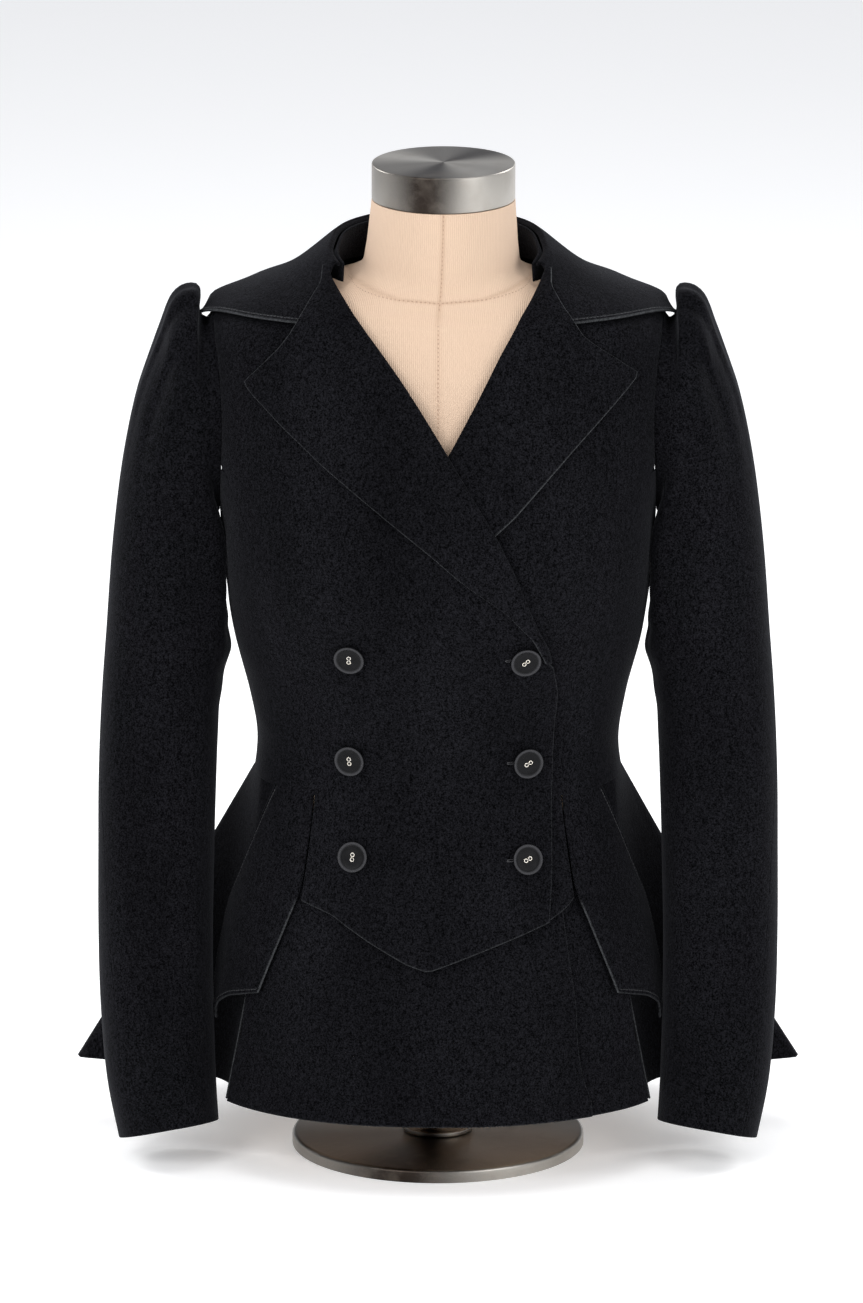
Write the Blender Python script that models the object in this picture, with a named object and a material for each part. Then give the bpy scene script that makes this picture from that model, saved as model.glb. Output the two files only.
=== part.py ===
"""A fitted double-breasted velvet jacket on a limbless dress form.

The torso is one smooth surface given by a table of sections. Every panel that lies on
the body is a patch of that surface, moved out by its layer and given the cloth's
thickness. The peplum, the sleeves and the collar have their own short tables.
Heights h are measured from the level hem. Sizes are in millimetres until a mesh is made.
The wearer faces -Y, and +X is the wearer's left.
"""

import math

import bpy
import numpy as np

MM = 0.001

# Driving sizes
HEM_Z = 55.0  # the level hem above the surface that the base stands on
CLOTH = 2.2  # wall of the velvet with its backing
COLLAR_CLOTH = 2.6
SEAM = 0.35  # each panel stops this short of its seam line
LAYER = CLOTH + 1.2  # from one layer's outer face to the next
WAIST_H = 240.0  # the seam between the bodice and the peplum
FORM_INSET = 6.0  # from the jacket's outer face to the dress form
SEAT_INSET = CLOTH + 0.35  # the same at the shoulders, where the jacket hangs on it

# The torso's sections: half width at the side, depth to the front, depth to the back,
# and how square the section is.
SECTIONS = {
    "h": (-20, 0, 55, 117, 167, 232, 265, 300, 350, 380, 410, 440, 480, 520, 560, 585,
          594, 602, 615, 629, 642),
    "half_width": (186, 182, 175, 163, 154, 139, 135.5, 141, 153.5, 158, 161, 163, 167,
                   169, 170, 169, 166, 146, 112, 88, 71),
    "front": (154, 150, 142, 131, 121, 106, 101, 106, 117, 122, 124, 122, 116, 107, 96,
              86, 82, 78, 71, 65, 59),
    "back": (150, 146, 138, 125, 112, 93, 88, 91, 99, 105, 110, 114, 117, 116, 108, 98,
             93, 88, 80, 73, 67),
    "power": (2.2, 2.2, 2.2, 2.2, 2.2, 2.25, 2.3, 2.3, 2.35, 2.4, 2.45, 2.5, 2.6, 2.7,
              2.7, 2.6, 2.5, 2.35, 2.25, 2.15, 2.1),
}
BUST = {"out": 9.0, "angle": 36.0, "spread": 20.0, "h": 405.0, "rise": 55.0}

# The armhole is an ellipse on the torso's side.
ARMHOLE = {"h": 517.0, "half_height": 77.0, "half_angle": 17.0, "half_width": 50.0}
SIDE = 90.0
BACK = 180.0
ARMHOLE_TOP = ARMHOLE["h"] + ARMHOLE["half_height"]
ARMHOLE_FOOT = ARMHOLE["h"] - ARMHOLE["half_height"]
NECK_H = 630.0  # where the panels end under the collar

# Heights that all the bodice panels share, so that their seams match.
BODY_ROWS = (WAIST_H, 265, 295, 325, 355, 385, 412, ARMHOLE_FOOT, 443, 450, 462, 480,
             505, 530, 555, 573, 584, 590, ARMHOLE_TOP, 606, 620, NECK_H)
FRONT_FOOT_H = 165.0
PRINCESS_TOP_H = 480.0
BACK_SEAM_TOP_H = 505.0

# Seams and edges as the distance x from the centre line at heights h.
PRINCESS = {
    "h": (110, 163, 176, 202, 236, 277, 320, 347, 370, 394, 408, 450, 480),
    "x": (104, 102, 100, 96, 92, 93, 99, 106, 111, 117, 127, 145, 158.5),
}
FRONT_EDGE = {
    "h": (110, 148, 196, 251, 301, 324, 345),
    "x": (77, 79, 82.5, 84, 86, 88, 85),
}
ROLL_OVER_FOOT_H = 350.0  # the over front's free edge ends here and its roll begins
ROLL_UNDER_FOOT_H = 480.0
ROLL_OVER = {
    "h": (345, 362, 379, 420, 448, 469, 492, 508, 539, 584, 609, 622, 634, 642),
    "x": (85, 82, 74, 58, 44, 31, 16.5, 7.5, -12, -44.5, -65, -74.5, -79, -81),
}
# The under front's edge is hidden below the crossing of the lapels.
ROLL_UNDER = {
    "h": (110, 345, 400, 440, 480, 508, 546, 579, 605, 625, 634, 642),
    "x": (-58, -58, -56, -36, -11, 7.5, 28.5, 46, 61.5, 75, 79, 81),
}
# The hem of the fronts, cut away below the waist, with a point near the centre.
FRONT_HEM = {
    "x": (-104, -77, -50, -22, -7, 38, 79, 95, 110),
    "h": (162, 154, 137, 121, 115.5, 133, 148, 157, 172),
}
HEM_BLEND_H = 235.0  # the hem's slant has died out here

# The back's curved seam, as an angle round the body from the centre front.
BACK_SEAM = {
    "h": (WAIST_H, 300, 350, 410, 450, 480, 505),
    "angle": (152, 150, 147, 140, 130, 118, 106.8),
}

# Lapels: each station joins the roll line to the outer edge. The tip is the corner.
LAPEL_OVER = {
    "roll_x": (84, 82, 74, 66, 58, 44, 31, 7.5, -12, -27, -44.5, -62, -70, -75.5),
    "roll_h": (350, 362, 379, 400, 420, 448, 469, 508, 539, 561, 584, 605, 616, 623.5),
    "edge_x": (78, 69, 51, 20, -7, -46, -85, -114, -139.5, -143, -124, -105, -93, -84),
    "edge_h": (352, 372, 392, 414, 436, 467, 499, 524, 548.5, 554, 574, 593, 608, 618.5),
}
LAPEL_UNDER = {
    "roll_x": (-6, 7.5, 18, 28.5, 37.5, 46, 54, 61.5, 67.5, 74),
    "roll_h": (487, 508, 527, 546, 563, 579, 592, 605, 613, 623),
    "edge_x": (38, 57, 100, 130, 145, 147, 128, 106, 91, 81),
    "edge_h": (445, 462, 509, 540, 555.5, 560, 574.5, 588.5, 604.5, 617.5),
}
LAPEL_PARTS = 2  # rows of points for each station
LAPEL_STEPS = (0, 2.5, 6, 10)  # distances from the roll, then fractions of the rest
LAPEL_SHARES = (0.2, 0.38, 0.56, 0.72, 0.87, 1.0)
LAPEL_SPREAD = 14.0
LAPEL_EDGE_DROP = 5.0  # the front stops this far behind the roll
ROLL_RISE = {"at": (0, 2.5, 6, 12, 30), "out": (0.6, 2.6, 3.9, 4.0, 3.4)}

# Collar, along the angle round the neck.
COLLAR = {
    "angle": (53, 66, 80, 88, 95, 110, 130, 155, 180),
    "edge_h": (596, 596, 594.5, 591, 588, 578, 568, 562, 560),
    "start_angle": (64.5, 71, 81, 88.5, 95, 110, 130, 155, 180),
}
COLLAR_SEAM = 0.7
COLLAR_ROLL = {"out": (1.3, 3.9, 8.5), "up": (-0.4, 1.6, 0.2)}
COLLAR_SHARES = (0.28, 0.54, 0.8, 1.0)
COLLAR_OUT = {
    "angle": (53, 66, 85, 115, 180),
    "near": (5.7, 6.0, 8.0, 8.6, 8.0),
    "far": (5.7, 5.8, 6.0, 7.8, 7.0),
}
COLLAR_ZONE = {"low_h": 580.0, "high_h": 594.0, "in_x": 72.0, "out_x": 82.0, "out": 9.4}
COLLAR_TIP = {"out": 2.0, "spread": 10.0, "angle": 89.0}
STAND = {
    "angle": (62, 75, 90, 110, 135, 180),
    "top_h": (635, 640, 644.5, 647.5, 648.5, 650),
    "top_in": (3, 7, 12, 12, 8, 3),
}

# Hip flaps over the skirt: outer and inner edge at heights along the flap.
FLAP = {
    "h": (58, 68, 88, 109, 142, 170, 201, 223, 239.4),
    "outer_angle": (71.5, 75, 79.5, 81.5, 80.5, 75.6, 72, 69, 66),
    "inner_angle": (58, 57.5, 56, 54, 50.4, 47.6, 47.8, 48.2, 48.6),
}
FLAP_LOW = {"share": (0, 0.5, 0.85, 1), "h": (88, 78.5, 69, 58)}
FLAP_ROWS = 9
FLAP_OUT = {"h": (58, 140, 239.4), "out": (2.5, 1.4, 0.6)}

# Skirt front, in two overlapping pieces, and its free edge.
SKIRT_TOP_H = 226.0
SKIRT_OUT = -3.2
SKIRT_UNDER_OUT = -6.5
SKIRT_SEAM_ANGLE = {"h": (0, 25, 55, 80, 226), "angle": (64, 63.6, 61.4, 62.4, 62.4)}
SKIRT_FREE_X = {
    "h": (0, 12, 26, 53, 86, 113, 156, 226),
    "x": (118, 117, 112, 107, 105, 101, 95, 86),
}
SKIRT_HIDDEN_ANGLE = 27.0
SKIRT_SWING = (46.5, 60.0)  # between these angles the under piece comes forward

# The peplum behind the skirt's seams: its hem at the angle where it leaves the waist.
PEPLUM = {
    "angle": (65.0, 68, 73, 79, 85, 90, 94, 97, 104, 113, 122, 131, 140, 149, 158, 168, 180),
    "hem_x": (160, 155, 156, 168, 197, 238, 272, 271, 248, 235, 230, 199, 172, 152, 108, 76, 0),
    "hem_y": (-71, -57, -38, -16, 6, 26, 39, 50, 70, 92, 122, 138, 146, 176, 176, 196, 190),
}
PEPLUM_TOP_OUT = {"angle": (65, 70, 75, 180), "out": (-3.6, -3.4, 0, 0)}
PEPLUM_SPLIT = 104.0
PEPLUM_ROWS = 4

# Sleeve rings after the armhole: the points furthest out and furthest in, where the
# ring's middle lies along Y, its half depth, how far the head's top is puffed sideways
# and up, how far its front is lifted, how far its pleats stand out, and where the outer
# seam runs.
SLEEVE = {
    "outer_x": (174, 181, 189, 198, 206, 212, 218.5, 225.5, 232, 238.5, 244, 248, 252, 254.5,
                255, 255, 253.5, 249, 240),
    "outer_h": (588, 590, 590, 585, 577, 566, 550, 530, 500, 460, 410, 355, 300, 240,
                180, 120, 65, 10, -37),
    "inner_x": (165.5, 165.5, 164.5, 163.5, 162.6, 161.8, 160.8, 159.7, 158, 156.2, 156,
                160.5, 164.5, 166.5, 168, 169, 168.5, 167, 165),
    "inner_h": (437, 433, 427, 420, 412, 403, 393, 382, 368, 352, 335, 310, 276, 228,
                174, 118, 65, 12, -23),
    "mid_y": (0, 0, 0, 0, 0, 0, -1, -2, -4, -6, -9, -13, -18, -25, -32, -38, -43, -47,
              -50),
    "half_depth": (50.5, 53, 55, 56, 56, 55, 54, 52, 50, 49, 48, 47, 46, 45, 44, 43, 42,
                   40, 39),
    "puff_x": (-1, -3.2, -11.5, -9, -7, -5, -3, -1, 0, 0, 0, 0, 0, 0, 0, 0, 0, 0, 0),
    "puff_h": (-3, 1, 18, 24, 23, 14, 8, 2, 0, 0, 0, 0, 0, 0, 0, 0, 0, 0, 0),
    "lean": (0, 0, 0, 0, 0, 0, 0, 0, 0, 0, 0, 0, 0, 0, 0, 1, 3, 6, 9.5),
    "pleat": (0, 2, 4.5, 5.5, 5.5, 4.5, 3, 2, 1, 0, 0, 0, 0, 0, 0, 0, 0, 0, 0),
    "seam": (-58, -56, -54, -52, -50, -47, -44, -40, -35, -28, -18, -6, 8, 20, 32, 40,
             46, 48, 48),
}
PUFF_SPREAD = 52.0
SLEEVE_POWER = 2.15
SLEEVE_INNER_SEAM = 205.0
PLEAT_AT = (-64.0, -40.0, -18.0, 18.0, 40.0, 64.0)
PLEAT_WIDTH = 17.0
PLEAT_STEEP = 6.0
SLEEVE_GAP = 1.15  # the sleeve starts this far inside the armhole

# Buttons: centres on the fronts
BUTTONS = {
    "name": ("left_top", "left_mid", "left_low", "right_top", "right_mid", "right_low"),
    "x": (-65, -64, -62, 64, 65, 65),
    "h": (356, 271, 198, 354, 269, 196),
    "gap": (0.2, 0.9, 0.3, 0.3, 1.2, 0.3),
}
BUTTON = {"radius": 11.5, "thick": 4.2, "rim": 1.6, "dish": 1.0, "shank": 3.2, "rise": 1.5}

# Dress form below the waist, and its shoulders and neck, which lean a little to one side
FORM_HIPS = {
    "h": (5, 60, 120, 180, 225),
    "half_width": (134, 142, 141, 133, 128),
    "front": (102, 108, 105, 97, 92.5),
    "back": (110, 116, 112, 98, 86),
}
FORM_ROWS = (248, 268, 295, 325, 355, 385, 412, 440, 470, 500, 530, 555, 574, 587, 595,
             600)
SEAT = {"angle": 90.0, "spread": 32.0, "low_h": 540.0, "high_h": 588.0, "back_share": 0.55}
NECK = {
    "h": (607, 613, 619, 627, 640, 660, 677.6),
    "half_width": (121, 95, 74, 60.5, 57, 55, 53.5),
    "front": (65, 61.5, 59.5, 58.5, 57, 55, 53.5),
    "back": (79, 74, 68.5, 63, 58.5, 55.5, 53.5),
    "power": (2.4, 2.3, 2.2, 2.1, 2.05, 2.0, 2.0),
    "lean": (0.8, 1.4, 2, 2.5, 3, 3.6, 4),
}
NECK_LEAN = 4.0
CAP = {"low": 678.0, "high": 705.0, "radius": 53.5, "edge": 1.5}
POST_RADIUS = 17.5
FORM_FOOT_H = 5.0
BASE = {"radius": 110.0, "thick": 10.0, "edge": 2.0}
PART_GAP = 0.4


def smooth_at(table, across, column, at):
    """A smooth curve through one column of a table."""
    xs = np.array(table[across], float)
    ys = np.array(table[column], float)
    at = np.asarray(at, float)
    slope = np.gradient(ys, xs)
    i = np.clip(np.searchsorted(xs, at) - 1, 0, len(xs) - 2)
    step = xs[i + 1] - xs[i]
    t = (at - xs[i]) / step
    low = (2 * t**3 - 3 * t**2 + 1) * ys[i] + (t**3 - 2 * t**2 + t) * step * slope[i]
    high = (3 * t**2 - 2 * t**3) * ys[i + 1] + (t**3 - t**2) * step * slope[i + 1]
    return low + high


def straight_at(table, across, column, at):
    """Straight lines through one column of a table whose first column rises."""
    return np.interp(at, table[across], table[column])


def ease(value, low, high):
    """0 below low, 1 above high, and smooth between."""
    t = np.clip((np.asarray(value, float) - low) / (high - low), 0, 1)
    return t * t * (3 - 2 * t)


def torso(angle, h):
    """The jacket's outer face at an angle round the body and a height."""
    angle, h = np.broadcast_arrays(np.asarray(angle, float), np.asarray(h, float))
    half_width = smooth_at(SECTIONS, "h", "half_width", h)
    front = smooth_at(SECTIONS, "h", "front", h)
    back = smooth_at(SECTIONS, "h", "back", h)
    power = smooth_at(SECTIONS, "h", "power", h)
    turn = np.radians(angle)
    depth = np.where(np.cos(turn) >= 0, front, back)
    across = np.abs(np.sin(turn)) / half_width
    along = np.abs(np.cos(turn)) / depth
    radius = (across**power + along**power) ** (-1 / power)
    round_bust = ((np.abs(angle) - BUST["angle"]) / BUST["spread"]) ** 2
    up_bust = ((h - BUST["h"]) / BUST["rise"]) ** 2
    radius = radius + BUST["out"] * np.exp(-round_bust - up_bust)
    return np.stack([radius * np.sin(turn), -radius * np.cos(turn), h], -1)


def torso_out(angle, h, out):
    """A point of the torso moved out along its normal."""
    angle, h = np.broadcast_arrays(np.asarray(angle, float), np.asarray(h, float))
    round_it = torso(angle + 0.5, h) - torso(angle - 0.5, h)
    up = torso(angle, h + 1) - torso(angle, h - 1)
    normal = np.cross(round_it, up)
    normal /= np.linalg.norm(normal, axis=-1, keepdims=True)
    return torso(angle, h) + normal * np.asarray(out, float)[..., None]


def angle_at(x, h):
    """The angle at which the front of the torso has this x."""
    x, h = np.broadcast_arrays(np.asarray(x, float), np.asarray(h, float))
    low = np.zeros(x.shape)
    high = np.full(x.shape, SIDE)
    for _ in range(36):
        middle = (low + high) / 2
        beyond = torso(middle, h)[..., 0] > np.abs(x)
        high = np.where(beyond, middle, high)
        low = np.where(beyond, low, middle)
    return np.sign(x) * (low + high) / 2


def armhole_half_angle(h):
    """Half the armhole's width at a height, as an angle."""
    share = (np.asarray(h, float) - ARMHOLE["h"]) / ARMHOLE["half_height"]
    return ARMHOLE["half_angle"] * np.sqrt(np.clip(1 - share**2, 0, 1))


def make_object(name, verts, faces, material, smooth_angle=50):
    """One closed solid with faces pointing out, from points in millimetres."""
    verts = np.asarray(verts, float)
    corners = [(f[0], f[k], f[k + 1]) for f in faces for k in range(1, len(f) - 1)]
    a, b, c = (verts[[f[k] for f in corners]] for k in range(3))
    volume = float((a * np.cross(b, c)).sum())
    if volume < 0:
        corners = [(f[2], f[1], f[0]) for f in corners]
    placed = (verts + (0, 0, HEM_Z)) * MM
    mesh = bpy.data.meshes.new(name)
    mesh.from_pydata(placed.tolist(), [], corners)
    mesh.validate()
    mesh.shade_smooth()
    mesh.set_sharp_from_angle(angle=math.radians(smooth_angle))
    mesh.materials.append(material)
    obj = bpy.data.objects.new(name, mesh)
    bpy.context.scene.collection.objects.link(obj)
    return obj


def wall(name, outer, inner, material, closed=False):
    """A cloth wall between an outer and an inner grid of points."""
    rows, cols = outer.shape[:2]
    count = rows * cols
    verts = np.concatenate([outer.reshape(-1, 3), inner.reshape(-1, 3)])
    faces = []
    last = cols if closed else cols - 1
    for r in range(rows - 1):
        for c in range(last):
            here = r * cols + c
            right = r * cols + (c + 1) % cols
            faces.append((here, right, right + cols, here + cols))
            faces.append(
                (count + here, count + here + cols, count + right + cols, count + right)
            )
    for c in range(last):
        right = (c + 1) % cols
        faces.append((right, c, count + c, count + right))
        low, low_right = count - cols + c, count - cols + right
        faces.append((low, low_right, count + low_right, count + low))
    if not closed:
        for r in range(rows - 1):
            left, right = r * cols, r * cols + cols - 1
            faces.append((left, left + cols, count + left + cols, count + left))
            faces.append((right + cols, right, count + right, count + right + cols))
    return make_object(name, verts, faces, material)


def pull_in(grid, gap, ends="lrtb"):
    """Moves the edges of a grid of points in by the seam's gap."""
    grid = grid.copy()
    edges = {
        "l": (np.s_[:, 0], np.s_[:, 1]),
        "r": (np.s_[:, -1], np.s_[:, -2]),
        "b": (np.s_[0], np.s_[1]),
        "t": (np.s_[-1], np.s_[-2]),
    }
    for key in ends:
        edge, beside = edges[key]
        step = grid[beside] - grid[edge]
        length = np.linalg.norm(step, axis=-1, keepdims=True)
        grid[edge] = grid[edge] + step * (gap / np.maximum(length, gap * 1.5))
    return grid


def panel(name, angle, h, out, material, thick=CLOTH, gap=SEAM, ends="lrtb"):
    """A cloth wall lying on the torso, from grids of angle, height and layer."""
    outer = pull_in(torso_out(angle, h, out), gap, ends)
    inner = pull_in(torso_out(angle, h, out - thick), gap, ends)
    return wall(name, outer, inner, material)


def between(left, right, shares):
    """Rows of values from a left edge to a right edge."""
    return left[:, None] + (right - left)[:, None] * np.asarray(shares)[None, :]


# Where the two fronts lie one over the other
def front_out(side, x, h, spread=0.0):
    """How far a front stands out. The over front, on -X, rises over the under front
    and over the lapel beneath it, and spread starts both rises sooner."""
    if side > 0:
        return np.zeros(np.shape(x))
    rise = LAYER * ease(x + spread, -96, -66)
    beside = ease(x + spread, -38, -14)
    above = ease(h + spread, 412, 438) * (1 - ease(h - spread, 540, 570))
    return rise + (LAYER + 0.5) * beside * above


def front(name, side, material):
    """A front from the princess seam, armhole and shoulder to its free edge."""
    foot_rows = (FRONT_FOOT_H, 190, 215)
    rows = np.array(foot_rows + BODY_ROWS, float)
    seam_x = np.array([straight_at(PRINCESS, "h", "x", h) for h in rows])
    outer = angle_at(seam_x, rows)
    above = rows > PRINCESS_TOP_H
    outer[above] = SIDE - armhole_half_angle(rows[above])
    outer[rows >= ARMHOLE_TOP] = SIDE
    if side < 0:
        free = smooth_at(FRONT_EDGE, "h", "x", rows)
        roll = smooth_at(ROLL_OVER, "h", "x", rows) - LAPEL_EDGE_DROP
        edge_x = np.where(rows < ROLL_OVER_FOOT_H, free, roll)
    else:
        roll = smooth_at(ROLL_UNDER, "h", "x", rows)
        edge_x = np.where(rows < ROLL_UNDER_FOOT_H, roll, roll + LAPEL_EDGE_DROP)
    inner = angle_at(edge_x, rows)
    angle = between(side * outer, inner, np.linspace(0, 1, 12))
    h = np.repeat(rows[:, None], angle.shape[1], 1)
    # The slanted hem is given by x, so x is found first on the level row.
    x = torso(angle, h)[..., 0]
    hem = np.interp(x[0], FRONT_HEM["x"], FRONT_HEM["h"])
    fall = np.clip((HEM_BLEND_H - rows) / (HEM_BLEND_H - FRONT_FOOT_H), 0, 1)
    h = h + (hem - FRONT_FOOT_H)[None, :] * fall[:, None]
    return panel(name, angle, h, front_out(side, x, h), material)


def side_front(name, side, material):
    rows = np.array([h for h in BODY_ROWS if h <= PRINCESS_TOP_H], float)
    seam = angle_at(straight_at(PRINCESS, "h", "x", rows), rows)
    outer = np.where(rows <= ARMHOLE_FOOT, SIDE, SIDE - armhole_half_angle(rows))
    angle = between(side * seam, side * outer, np.linspace(0, 1, 6))
    h = np.repeat(rows[:, None], angle.shape[1], 1)
    return panel(name, angle, h, 0 * h, material)


def back_seam(rows):
    return straight_at(BACK_SEAM, "h", "angle", rows)


def side_back(name, side, material):
    rows = np.array([h for h in BODY_ROWS if h < BACK_SEAM_TOP_H] + [BACK_SEAM_TOP_H - 4.0])
    outer = np.where(rows <= ARMHOLE_FOOT, SIDE, SIDE + armhole_half_angle(rows))
    angle = between(side * outer, side * back_seam(rows), np.linspace(0, 1, 6))
    h = np.repeat(rows[:, None], angle.shape[1], 1)
    return panel(name, angle, h, 0 * h, material)


def back(name, side, material):
    rows = np.array(BODY_ROWS, float)
    edge = back_seam(np.minimum(rows, BACK_SEAM_TOP_H))
    edge = np.where(rows >= BACK_SEAM_TOP_H, SIDE + armhole_half_angle(rows), edge)
    edge = np.where(rows >= ARMHOLE_TOP, SIDE, edge)
    centre = np.full(len(rows), BACK)
    angle = between(side * edge, side * centre, np.linspace(0, 1, 8))
    h = np.repeat(rows[:, None], angle.shape[1], 1)
    return panel(name, angle, h, 0 * h, material)


def lapel(name, side, table, material):
    """A lapel turned back over its front, from the roll to the pointed edge."""
    stations = len(table["roll_x"])
    rows = (stations - 1) * LAPEL_PARTS + 1
    along = np.linspace(0, stations - 1, rows)
    columns = ("roll_x", "roll_h", "edge_x", "edge_h")
    line = {c: np.interp(along, np.arange(stations), table[c]) for c in columns}
    x = np.zeros((rows, len(LAPEL_STEPS) + len(LAPEL_SHARES)))
    h = np.zeros(x.shape)
    from_roll = np.zeros(x.shape)
    for r in range(rows):
        roll = np.array((line["roll_x"][r], line["roll_h"][r]))
        edge = np.array((line["edge_x"][r], line["edge_h"][r]))
        width = np.linalg.norm(edge - roll)
        first = min(LAPEL_STEPS[-1], 0.4 * width)
        steps = [first * s / LAPEL_STEPS[-1] for s in LAPEL_STEPS]
        steps += [first + (width - first) * s for s in LAPEL_SHARES]
        for c, step in enumerate(steps):
            x[r, c], h[r, c] = roll + (edge - roll) * step / width
            from_roll[r, c] = step
    under = front_out(side, x, h, LAPEL_SPREAD * ease(from_roll, 2, 20))
    out = under + straight_at(ROLL_RISE, "at", "out", from_roll)
    on_collar = ease(h, COLLAR_ZONE["low_h"], COLLAR_ZONE["high_h"])
    on_collar = on_collar * ease(np.abs(x), COLLAR_ZONE["in_x"], COLLAR_ZONE["out_x"])
    out = out + (COLLAR_ZONE["out"] - out) * on_collar
    return panel(name, angle_at(x, h), h, out, material, gap=0.1)


def stand_top(angles):
    """The top edge of the collar's stand, and the direction away from the neck."""
    turn = np.where(angles > BACK, 360 - angles, angles)
    foot = torso(angles, NECK_H)
    away = foot[:, :2] / np.linalg.norm(foot[:, :2], axis=1, keepdims=True)
    top = foot.copy()
    top[:, :2] -= away * smooth_at(STAND, "angle", "top_in", turn)[:, None]
    top[:, 2] = smooth_at(STAND, "angle", "top_h", turn)
    return foot, top, away


def collar(name, side, material):
    """Half of the wide collar's fall, from the roll round the neck to its outer edge."""
    angles = np.array((53, 59, 66, 73, 80, 86, 91, 98, 108, 120, 134, 149, 164, 180.0))
    start = np.interp(angles, COLLAR["angle"], COLLAR["start_angle"])
    edge_h = smooth_at(COLLAR, "angle", "edge_h", angles)
    _, top, away = stand_top(start)
    rows = []
    for out, up in zip(COLLAR_ROLL["out"], COLLAR_ROLL["up"]):
        point = top.copy()
        point[:, :2] += away * out
        point[:, 2] += up
        rows.append(point)
    shares = np.array(COLLAR_SHARES)
    angle = between(start, angles, shares)
    h = between(np.full(len(angles), NECK_H), edge_h, shares)
    near = np.interp(angles, COLLAR_OUT["angle"], COLLAR_OUT["near"])
    far = np.interp(angles, COLLAR_OUT["angle"], COLLAR_OUT["far"])
    out = between(near, far, (shares - shares[0]) / (1 - shares[0]))
    fall = torso_out(angle, h, out)
    from_tip = (angles - COLLAR_TIP["angle"]) / COLLAR_TIP["spread"]
    tip = COLLAR_TIP["out"] * np.exp(-(from_tip**2))
    fall[..., 0] += tip[:, None] * shares[None, :] ** 2
    outer = np.concatenate([np.stack(rows, 1), fall], 1)
    normal = np.cross(np.gradient(outer, axis=0), np.gradient(outer, axis=1))
    normal *= np.sign(normal[..., 2].mean())
    normal /= np.linalg.norm(normal, axis=-1, keepdims=True)
    inner = outer - normal * COLLAR_CLOTH
    outer[..., 0] *= side
    inner[..., 0] *= side
    outer, inner = pull_in(outer, COLLAR_SEAM, "tb"), pull_in(inner, COLLAR_SEAM, "tb")
    return wall(name, outer, inner, material)


def collar_stand(name, material):
    """The band inside the collar, from the neck seam up to the roll."""
    half = np.array((65, 75, 90, 105, 122, 140, 160.0))
    angles = np.concatenate([half, [BACK], 360 - half[::-1]])
    foot, top, away = stand_top(angles)
    foot[:, 2] += 1.0
    outer = np.stack([foot + (top - foot) * s for s in (0, 0.5, 1)])
    inner = outer.copy()
    inner[..., :2] -= away[None] * CLOTH
    return wall(name, outer, inner, material)


def hip_flap(name, side, material):
    """A flap over the hip with its point to the side."""
    across = np.linspace(0, 1, 6)
    low = straight_at(FLAP_LOW, "share", "h", across)
    down = np.linspace(0, 1, FLAP_ROWS)[:, None]
    h = FLAP["h"][-1] + (low[None, :] - FLAP["h"][-1]) * down
    inner = straight_at(FLAP, "h", "inner_angle", h)
    outer = straight_at(FLAP, "h", "outer_angle", h)
    angle = inner + (outer - inner) * across[None, :]
    out = np.interp(h, FLAP_OUT["h"], FLAP_OUT["out"])
    return panel(name, side * angle, h, out, material)


def skirt_over(name, material):
    rows = np.linspace(0, SKIRT_TOP_H, 7)
    seam = -straight_at(SKIRT_SEAM_ANGLE, "h", "angle", rows)
    free = angle_at(smooth_at(SKIRT_FREE_X, "h", "x", rows), rows)
    angle = between(seam, free, np.linspace(0, 1, 12))
    h = np.repeat(rows[:, None], angle.shape[1], 1)
    return panel(name, angle, h, 0 * h + SKIRT_OUT, material)


def skirt_under(name, material):
    rows = np.linspace(0, SKIRT_TOP_H, 7)
    seam = straight_at(SKIRT_SEAM_ANGLE, "h", "angle", rows)
    hidden = np.full(len(rows), SKIRT_HIDDEN_ANGLE)
    angle = between(hidden, seam, np.linspace(0, 1, 7))
    h = np.repeat(rows[:, None], angle.shape[1], 1)
    out = SKIRT_UNDER_OUT + (SKIRT_OUT - SKIRT_UNDER_OUT) * ease(angle, *SKIRT_SWING)
    return panel(name, angle, h, out, material)


def peplum(name, side, low, high, cols, material):
    """A stretch of the flared peplum, straight from the waist seam to the hem."""
    angle = np.linspace(low, high, cols)
    top_out = np.interp(angle, PEPLUM_TOP_OUT["angle"], PEPLUM_TOP_OUT["out"])
    top = torso_out(angle, WAIST_H, top_out)
    hem = np.stack(
        [
            smooth_at(PEPLUM, "angle", "hem_x", angle),
            smooth_at(PEPLUM, "angle", "hem_y", angle),
            np.zeros(cols),
        ],
        -1,
    )
    shares = np.linspace(0, 1, PEPLUM_ROWS + 1)[:, None, None]
    outer = top[None] + (hem - top)[None] * shares
    round_it = np.gradient(outer, axis=1)
    down = np.gradient(outer, axis=0)
    normal = np.cross(down, round_it)
    normal /= np.linalg.norm(normal, axis=-1, keepdims=True)
    inner = outer - normal * CLOTH
    inner[..., 2] = outer[..., 2]
    outer[..., 0] *= side
    inner[..., 0] *= side
    return wall(name, pull_in(outer, SEAM, "lrb"), pull_in(inner, SEAM, "lrb"), material)


def pleats(phi):
    """Knife pleats round the sleeve head, each steep on the side away from the top."""
    phi = (phi + 180) % 360 - 180
    total = np.zeros(np.shape(phi))
    for at in PLEAT_AT:
        lean = math.copysign(1, at)
        away = (phi - at) * lean
        width = np.where(away < 0, PLEAT_WIDTH, PLEAT_STEEP)
        rise = np.exp(-((away / width) ** 2))
        total = np.maximum(total, rise)
    return total


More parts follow.
